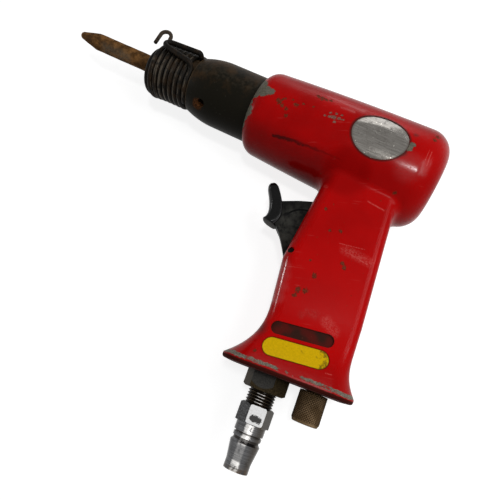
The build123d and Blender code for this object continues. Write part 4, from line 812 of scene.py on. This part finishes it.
def blued_steel():
    """Near-black with brown clouds, paler toward the top as painted light, a painted sheen, pale pricks and rust
    round the port. The bush is brown with a grey flat.
    """
    material, place = begin("blued_steel")
    fine = place.noise(1.4, 4, 0.65)
    behind, rise, depth = (place.dot(axis) for axis in (REAR, RISE, DOWN))
    # Brown clouds; the rise term makes them paler toward the top of the barrel, which is painted light.
    clouds = (place.noise(0.12, 4, 0.65) + rise * 0.014 - behind * 0.004).ease(0.5, 0.85)
    # Painted sheen: a paler band along the upper middle of the barrel.
    sheen = (rise + fine * 8).between(1, 5, 8, 13) * place.noise(0.5, 4, 0.7).ease(0.4, 0.65)
    pricks = place.noise(1.1, 1).ease(0.73, 0.78)
    rust = (place.ragged(0.4, 2.2).away(PORT) + fine * 1.5).ease(5.2, 3.4)
    on_bush = depth.ease(BASE_DEPTH - 0.8, BASE_DEPTH - 0.1)
    out = place.dot(BUSH_FLAT) - INLET_BACK * float(BACK @ BUSH_FLAT)
    along = place.dot(BUSH_SIDE) - INLET_BACK * float(BACK @ BUSH_SIDE)
    in_arc = (depth + along * along * BUSH_ARC_BEND + fine * 0.5).ease(BUSH_ARC + 0.2, BUSH_ARC - 0.4)
    facet = out.ease(BUSH_HALF - 0.35, BUSH_HALF - 0.05) * in_arc
    colour = layered(
        clouds.tint((0.0075, 0.0065, 0.0042), (0.036, 0.02, 0.009)),
        # Painted sheen.
        (sheen * 0.6, (0.032, 0.026, 0.018)),
        (on_bush, fine.ease(0.35, 0.65).tint((0.02, 0.014, 0.0065), (0.052, 0.037, 0.018))),
        (on_bush * facet * 0.8, fine.ease(0.3, 0.7).tint((0.04, 0.041, 0.04), (0.07, 0.069, 0.066))),
        (behind.between(*SHOULDER_EDGE) * 0.7, (0.055, 0.036, 0.02)),
        (pricks * 0.6, (0.04, 0.036, 0.028)),
        (rust, fine.ease(0.4, 0.65).tint((0.03, 0.011, 0.004), (0.12, 0.045, 0.014))),
    )
    return dress(material, colour, 0.34 + fine * 0.2 + rust * 0.3, fine, 0.03, Specular_IOR_Level=0.03)


paint(blued_steel(), "barrel", "inlet_bush", "trigger_pin")

# %% [markdown]
# ## Rusty steel
# The bit is bare steel gone brown. Rust is never one colour: dark scale, orange bloom and a few grey places that rub
# clean lie over each other at different sizes. On the knob, pale dust stays in the grooves of the knurl and fingers
# keep the diamonds dark, which the distance from its axis tells apart.

# %% Rusty steel
RUBBED = ((-100, -3.6, 3.2), (-84, -3.8, 3.2))


def rusty_steel():
    """Dark scale, orange bloom and rubbed grey, each from its own noise."""
    material, place = begin("rusty_steel")
    fine = place.noise(1.6, 5, 0.7)
    rubbed = (stroke(place.ragged(0.3, 4), *RUBBED) + fine * 4).ease(6.6, 2.6)
    colour = layered(
        place.noise(0.22, 5, 0.65).ease(0.38, 0.66).tint((0.06, 0.028, 0.009), (0.2, 0.095, 0.03)),
        (fine.ease(0.5, 0.75) * 0.5, (0.20, 0.10, 0.04)),
        (fine.ease(0.42, 0.25) * 0.7, (0.02, 0.012, 0.006)),
        (rubbed * fine.ease(0.3, 0.6) * 0.7, (0.085, 0.072, 0.052)),
    )
    rough = 0.78 - rubbed * 0.2 - fine * 0.15
    return dress(material, colour, rough, fine, 0.18, Metallic=rubbed * 0.3, Specular_IOR_Level=0.03)


def rusty_knob():
    """Brown knob: pale rust dust lies in the grooves of its knurl, and the diamonds between them are dark."""
    material, place = begin("rusty_knob")
    radius = about_grip(place, KNOB_BACK)[2]
    fine = place.noise(1.6, 4, 0.65)
    tops = fine.ease(0.35, 0.7).tint((0.022, 0.011, 0.005), (0.06, 0.035, 0.016))
    colour = layered(
        place.noise(0.2, 3).ease(0.35, 0.65).tint((0.12, 0.075, 0.034), (0.24, 0.16, 0.085)),
        (radius.ease(KNOB_RADIUS + 0.06, KNOB_RADIUS + 0.3), tops),
        (fine.ease(0.66, 0.74) * 0.6, (0.25, 0.2, 0.14)),
    )
    return dress(material, colour, 0.7 - fine * 0.2, fine, 0.08, Specular_IOR_Level=0.04)


paint(rusty_steel(), "bit", "chisel")
paint(rusty_knob(), "regulator", "knob_knurl")

# %% [markdown]
# ## Spring wire
# The wire is dark and oily, brown where the oil has gone, as on the hook, and rubbed bright along the outside of its
# coils. The rubbed line is where the wire is farthest from the barrel's axis.

# %% Spring wire
RUBBED_RADIUS = (15.33, 15.42, 15.55, 15.75)
DRY_HOOK = (15.5, 18)


def spring_steel():
    """Dark wire with brown clouds, a bright line where it lies farthest out, and a browner hook."""
    material, place = begin("spring_steel")
    fine = place.noise(1.5, 4, 0.65)
    radius = place.vector("LENGTH", place.scaled((0, 1, 1)), out=1)
    crest = radius.between(*RUBBED_RADIUS) * (place.noise(0.3, 3) + fine * 0.3).ease(0.5, 0.75)
    colour = layered(
        place.noise(0.25, 4).ease(0.4, 0.75).tint((0.004, 0.0033, 0.0025), (0.022, 0.013, 0.0065)),
        (crest * 0.75, (0.085, 0.07, 0.052)),
        (place.dot(RISE).ease(*DRY_HOOK) * (0.2 + fine), (0.062, 0.046, 0.033)),
    )
    return dress(material, colour, 0.4 + fine * 0.2, fine, 0.03, Metallic=crest * 0.4, Specular_IOR_Level=0.06)


paint(spring_steel(), "retainer_wire", "retainer_spring")

# %% [markdown]
# ## Plated steel of the air plug
# The plug was plated. Its hex has darkened and its grooves hold black grime. A bright strip along collar, ridge and
# nose is a painted highlight, with painted shade on the flanks either side. Depth down the grip tells the parts
# apart, and the distance behind the plug's axis places the strip.

# %% Air plug
HEX_END = 152.6
GROOVE, NECK = (156.4, 156.7, 157.2, 157.5), (158.8, 159, 159.9, 160.3)
TAPER, NOSE = (161, 162.2, 168.2, 169.2), (169.5, 173)
STRIP = (-2.4, -1.5, 1.2, 2.2)


def plug_steel():
    """Dull turned steel with a painted highlight in a strip, on the thread's crests too, and painted shade on its
    flanks. Hex and thread roots are dark, and grime lies in the grooves.
    """
    material, place = begin("plug_steel")
    depth = place.dot(DOWN)
    behind, high, radius = about_grip(place, INLET_BACK)
    fine = place.noise(1.6, 4, 0.65)
    rings = place.node("CombineXYZ", {0: depth * 6, 1: behind * 0.1, 2: high * 0.1}).noise(1, 2)
    ringed = rings.ease(0.3, 0.7)
    on_hex = depth.ease(HEX_END + 0.4, HEX_END - 0.4)
    on_thread = depth.ease(THREAD_END + 0.1, THREAD_END - 0.1)
    grime = depth.between(*GROOVE).high(depth.between(*NECK))
    grime = grime.high(place.noise(0.5, 4, 0.65).ease(0.58, 0.72) * 0.5)
    browned = depth.ease(*NOSE) * place.noise(0.4, 3).ease(0.35, 0.65)
    swayed = behind + fine * 1.6 - 0.9 + depth.ease(156, 161) * 0.7
    # Painted highlight: a bright strip along the plug, weaker on the taper.
    strip = swayed.between(*STRIP) * (1 - depth.between(*TAPER) * 0.8)
    strip = strip * (place.noise(0.45, 3) + rings * 0.4).ease(0.5, 0.68)
    dark = fine.ease(0.35, 0.7).tint((0.012, 0.012, 0.012), (0.08, 0.08, 0.082))
    # Painted glints: the thread's crests are bright only within the strip.
    crests = strip.tint((0.03, 0.022, 0.014), (0.42, 0.4, 0.38))
    crested = radius.ease(CREST_RADIUS - 0.28, CREST_RADIUS - 0.03).tint((0.009, 0.006, 0.004), crests)
    colour = layered(
        ringed.tint((0.05, 0.05, 0.052), (0.13, 0.13, 0.133)),
        # Painted shade on the plug's flanks, either side of the strip.
        (behind.ease(-3.5, -6.5) * 0.6, (0.03, 0.03, 0.031)),
        (behind.ease(1.5, 6) * 0.75, (0.045, 0.035, 0.024)),
        (strip, ringed.tint((0.52, 0.51, 0.49), (0.85, 0.83, 0.81))),
        (grime * 0.85, (0.014, 0.011, 0.008)),
        (browned * 0.6, (0.09, 0.055, 0.03)),
        (on_hex, behind.ease(1, 5).tint(dark, (0.026, 0.02, 0.013))),
        (on_thread, crested),
    )
    rough = 0.2 + fine * 0.12 + on_hex * 0.12 + grime * 0.2
    return dress(material, colour, rough, rings * 0.5 + fine * 0.5, 0.02, Metallic=1)


def sticker_paper():
    """Soiled white paper with a dark smear."""
    material, place = begin("sticker_paper")
    fine = place.noise(1.2, 4, 0.6)
    blot, reach = sticker_middle + 1.4 * DOWN, 1.2 * flat_side
    smear = (stroke(place.ragged(0.6, 2.6), blot - reach, blot + reach) + fine * 1.8).ease(2.6, 2.25)
    soiled = fine.ease(0.4, 0.8).tint((0.86, 0.86, 0.86), (0.7, 0.69, 0.67))
    colour = smear.tint(soiled, (0.008, 0.007, 0.006))
    return dress(material, colour, 0.6 + fine * 0.2, fine, 0.02)


paint(plug_steel(), "quick_plug", "plug_thread")
paint(sticker_paper(), "plug_sticker")

# %% [markdown]
# ## Trigger
# The trigger is moulded black plastic. The finger keeps the pad glossy, a thin pale line along its rear edge is
# partly wear and partly a painted highlight, and dust stays on the web, most in the round recess. The line follows
# the pad's own grid, by the share of a turn.

# %% Trigger finish
DISC = PIVOT + DISC_AHEAD * AHEAD + DISC_RISE * RISE
REAR_EDGE, EDGE_HALF = 0.345, 0.018
PAD_UNDERSIDE = (0.955, 0.97)


def pad_plastic():
    """Glossy black with a paler rear edge, partly wear and partly a painted highlight, and a dusty foot."""
    material, place = begin("pad_plastic")
    fine = place.noise(1.3, 4, 0.6)
    grid = place.node("UVMap", {}, uv_map="share")
    along, round_it = grid.dot((1, 0, 0)), grid.dot((0, 1, 0))
    # Partly wear and partly a painted highlight: a paler line along the pad's rear edge.
    edge = round_it.between(REAR_EDGE - EDGE_HALF, REAR_EDGE, REAR_EDGE, REAR_EDGE + EDGE_HALF)
    foot = along.ease(*PAD_UNDERSIDE)
    colour = layered(
        fine.ease(0.3, 0.7).tint((0.0015, 0.0015, 0.0015), (0.004, 0.004, 0.004)),
        (edge * along.ease(0.15, 0.35) * 0.8, (0.05, 0.05, 0.052)),
        (foot * 0.9, fine.ease(0.35, 0.65).tint((0.02, 0.02, 0.017), (0.04, 0.039, 0.033))),
    )
    return dress(material, colour, 0.18 + fine * 0.08 + foot * 0.4, fine, 0.03, Specular_IOR_Level=0.1)


def black_plastic():
    """Black with dust, most in the round recess, and painted shade in the upper edge of the recess."""
    material, place = begin("black_plastic")
    fine = place.noise(1.3, 4, 0.6)
    from_disc = place.flat().away(DISC)
    # Painted shade: black along the upper edge of the round recess.
    recess_edge_shade = from_disc.between(DISC_RADIUS - 0.7, DISC_RADIUS - 0.2, DISC_RADIUS + 0.1, DISC_RADIUS + 0.45)
    recess_edge_shade = recess_edge_shade * place.dot(RISE).ease(float(DISC[1]) + 1, float(DISC[1]) + 5)
    inside = from_disc.ease(DISC_RADIUS + 3, DISC_RADIUS - 1)
    dust = (place.noise(0.25, 4) + fine * 0.3).ease(0.45, 0.8) * (0.35 + inside * 0.65)
    colour = layered(
        fine.ease(0.3, 0.7).tint((0.002, 0.002, 0.002), (0.006, 0.006, 0.006)),
        (dust * 0.85, (0.046, 0.046, 0.04)),
        (recess_edge_shade, (0.0005, 0.0005, 0.0005)),
    )
    return dress(material, colour, 0.36 + dust * 0.2 + fine * 0.08, fine, 0.03, Specular_IOR_Level=0.03)


paint(pad_plastic(), "trigger_pad")
paint(black_plastic(), "trigger_web", "trigger")

# %% [markdown]
# ## Badge and label
# The oval badge is a satin metal plate, and the capsule above the base a yellow plastic label. Both are blank here,
# so their finish is in the grime: specks and fine scratches on the metal, a dark edge and a soiled rear end on the
# yellow. The badge's upper half is crowned a little, which catches the light of the window.

# %% Badge and label
LABEL_MIDDLE = 117 * DOWN + 61.8 * BACK
LABEL_HALF_RUN, LABEL_RADIUS = 10.5, 4.5


def badge_metal():
    """Grey satin plate, dark specks, bright nicks, fine scratches and a grimy border."""
    material, place = begin("badge_metal")
    fine = place.noise(1.5, 4, 0.65)
    lines = place.scaled((0.15, 2.4, 0.15)).noise(1, 2)
    out = from_badge(place)
    border = out.ease(0.9, 0.98)
    crown = out.ease(0.35, 1) * place.dot(RISE).ease(1, 7)
    grime = (place.noise(0.45, 5, 0.7) + fine * 0.2).ease(0.6, 0.78)
    nicks = (place.noise(1, 3) + lines * 0.2).ease(0.80, 0.85)
    pits = place.noise(0.8, 3, 0.7).ease(0.36, 0.3)
    colour = layered(
        lines.ease(0.3, 0.7).tint((0.12, 0.111, 0.10), (0.19, 0.18, 0.165)),
        (grime * 0.6, (0.05, 0.042, 0.034)),
        (border * 0.6, (0.08, 0.06, 0.05)),
        (pits * 0.7, (0.03, 0.025, 0.02)),
        (nicks, (0.6, 0.58, 0.52)),
    )
    height = (lines * 0.4 + fine * 0.6 - border * 0.4) * 0.04 - crown
    return dress(material, colour, 0.1 + fine * 0.1 + grime * 0.2, height, 0.75, Metallic=0.9 - grime * 0.4)


def yellow_label():
    """Yellow with a dark line round its edge and dirt that gathers at its rear end."""
    material, place = begin("yellow_label")
    fine = place.noise(1.2, 4, 0.65)
    run = LABEL_HALF_RUN * LABEL_WAY
    inside = stroke(place.flat(), LABEL_MIDDLE - run, LABEL_MIDDLE + run)
    edge = inside.ease(LABEL_RADIUS - 0.55, LABEL_RADIUS - 0.35)
    end = (place.dot(LABEL_WAY) - float(LABEL_MIDDLE @ LABEL_WAY)).ease(8, 14)
    dirt = (place.noise(0.4, 4, 0.65) + end * 0.2).ease(0.58, 0.78).high(edge * 0.8)
    colour = layered(
        fine.ease(0.3, 0.7).tint((0.50, 0.32, 0.001), (0.61, 0.385, 0.002)),
        (dirt * 0.8, (0.07, 0.045, 0.004)),
        (edge * 0.85, (0.022, 0.013, 0.003)),
    )
    rough = 0.32 + dirt * 0.3 + fine * 0.1
    return dress(material, colour, rough, fine * 0.6 - dirt * 0.3, 0.03, Specular_IOR_Level=0.05)


paint(badge_metal(), "badge")
paint(yellow_label(), "base_label")

# %% [markdown]
# ## Inside pieces
# Piston, valve and throttle show only when the tool is taken apart. They are ground steel, turned bronze and black
# rubber. Turning leaves fine rings, so a stretched noise gives each its grain.

# %% Inside pieces
OIL_SHADE = 0.4


def turned_metal(name, dark, light, roughness):
    """Turned metal: fine grain stretched along one axis under soft clouds of oil."""
    material, place = begin(name)
    grain = place.scaled((2.5, 0.2, 0.2)).noise(1, 3)
    oil = place.noise(0.2, 3).ease(0.45, 0.7)
    colour = (oil * 0.4).tint(grain.ease(0.3, 0.7).tint(dark, light), [OIL_SHADE * part for part in dark])
    return dress(material, colour, roughness + grain * 0.15, grain, 0.01, Metallic=1)


def seal_rubber():
    """Black rubber with a dusty bloom."""
    material, place = begin("seal_rubber")
    fine = place.noise(1.5, 4)
    colour = fine.ease(0.4, 0.8).tint((0.014, 0.014, 0.014), (0.04, 0.039, 0.037))
    return dress(material, colour, 0.6 + fine * 0.25, fine, 0.03)


paint(
    turned_metal("machined_steel", (0.36, 0.36, 0.35), (0.52, 0.52, 0.51), 0.22),
    "piston", "front_valve_case", "cycle_valve", "rear_valve_case", "valve_dowel", "throttle_pin", "throttle_valve",
    "throttle_spring", "regulator_clip",
)
paint(
    turned_metal("bronze", (0.38, 0.25, 0.10), (0.52, 0.37, 0.17), 0.26),
    "throttle_bush", "valve_seat", "inlet_screen",
)
paint(seal_rubber(), "throttle_pin_seal", "throttle_valve_seal", "inlet_gasket", "regulator_seal")
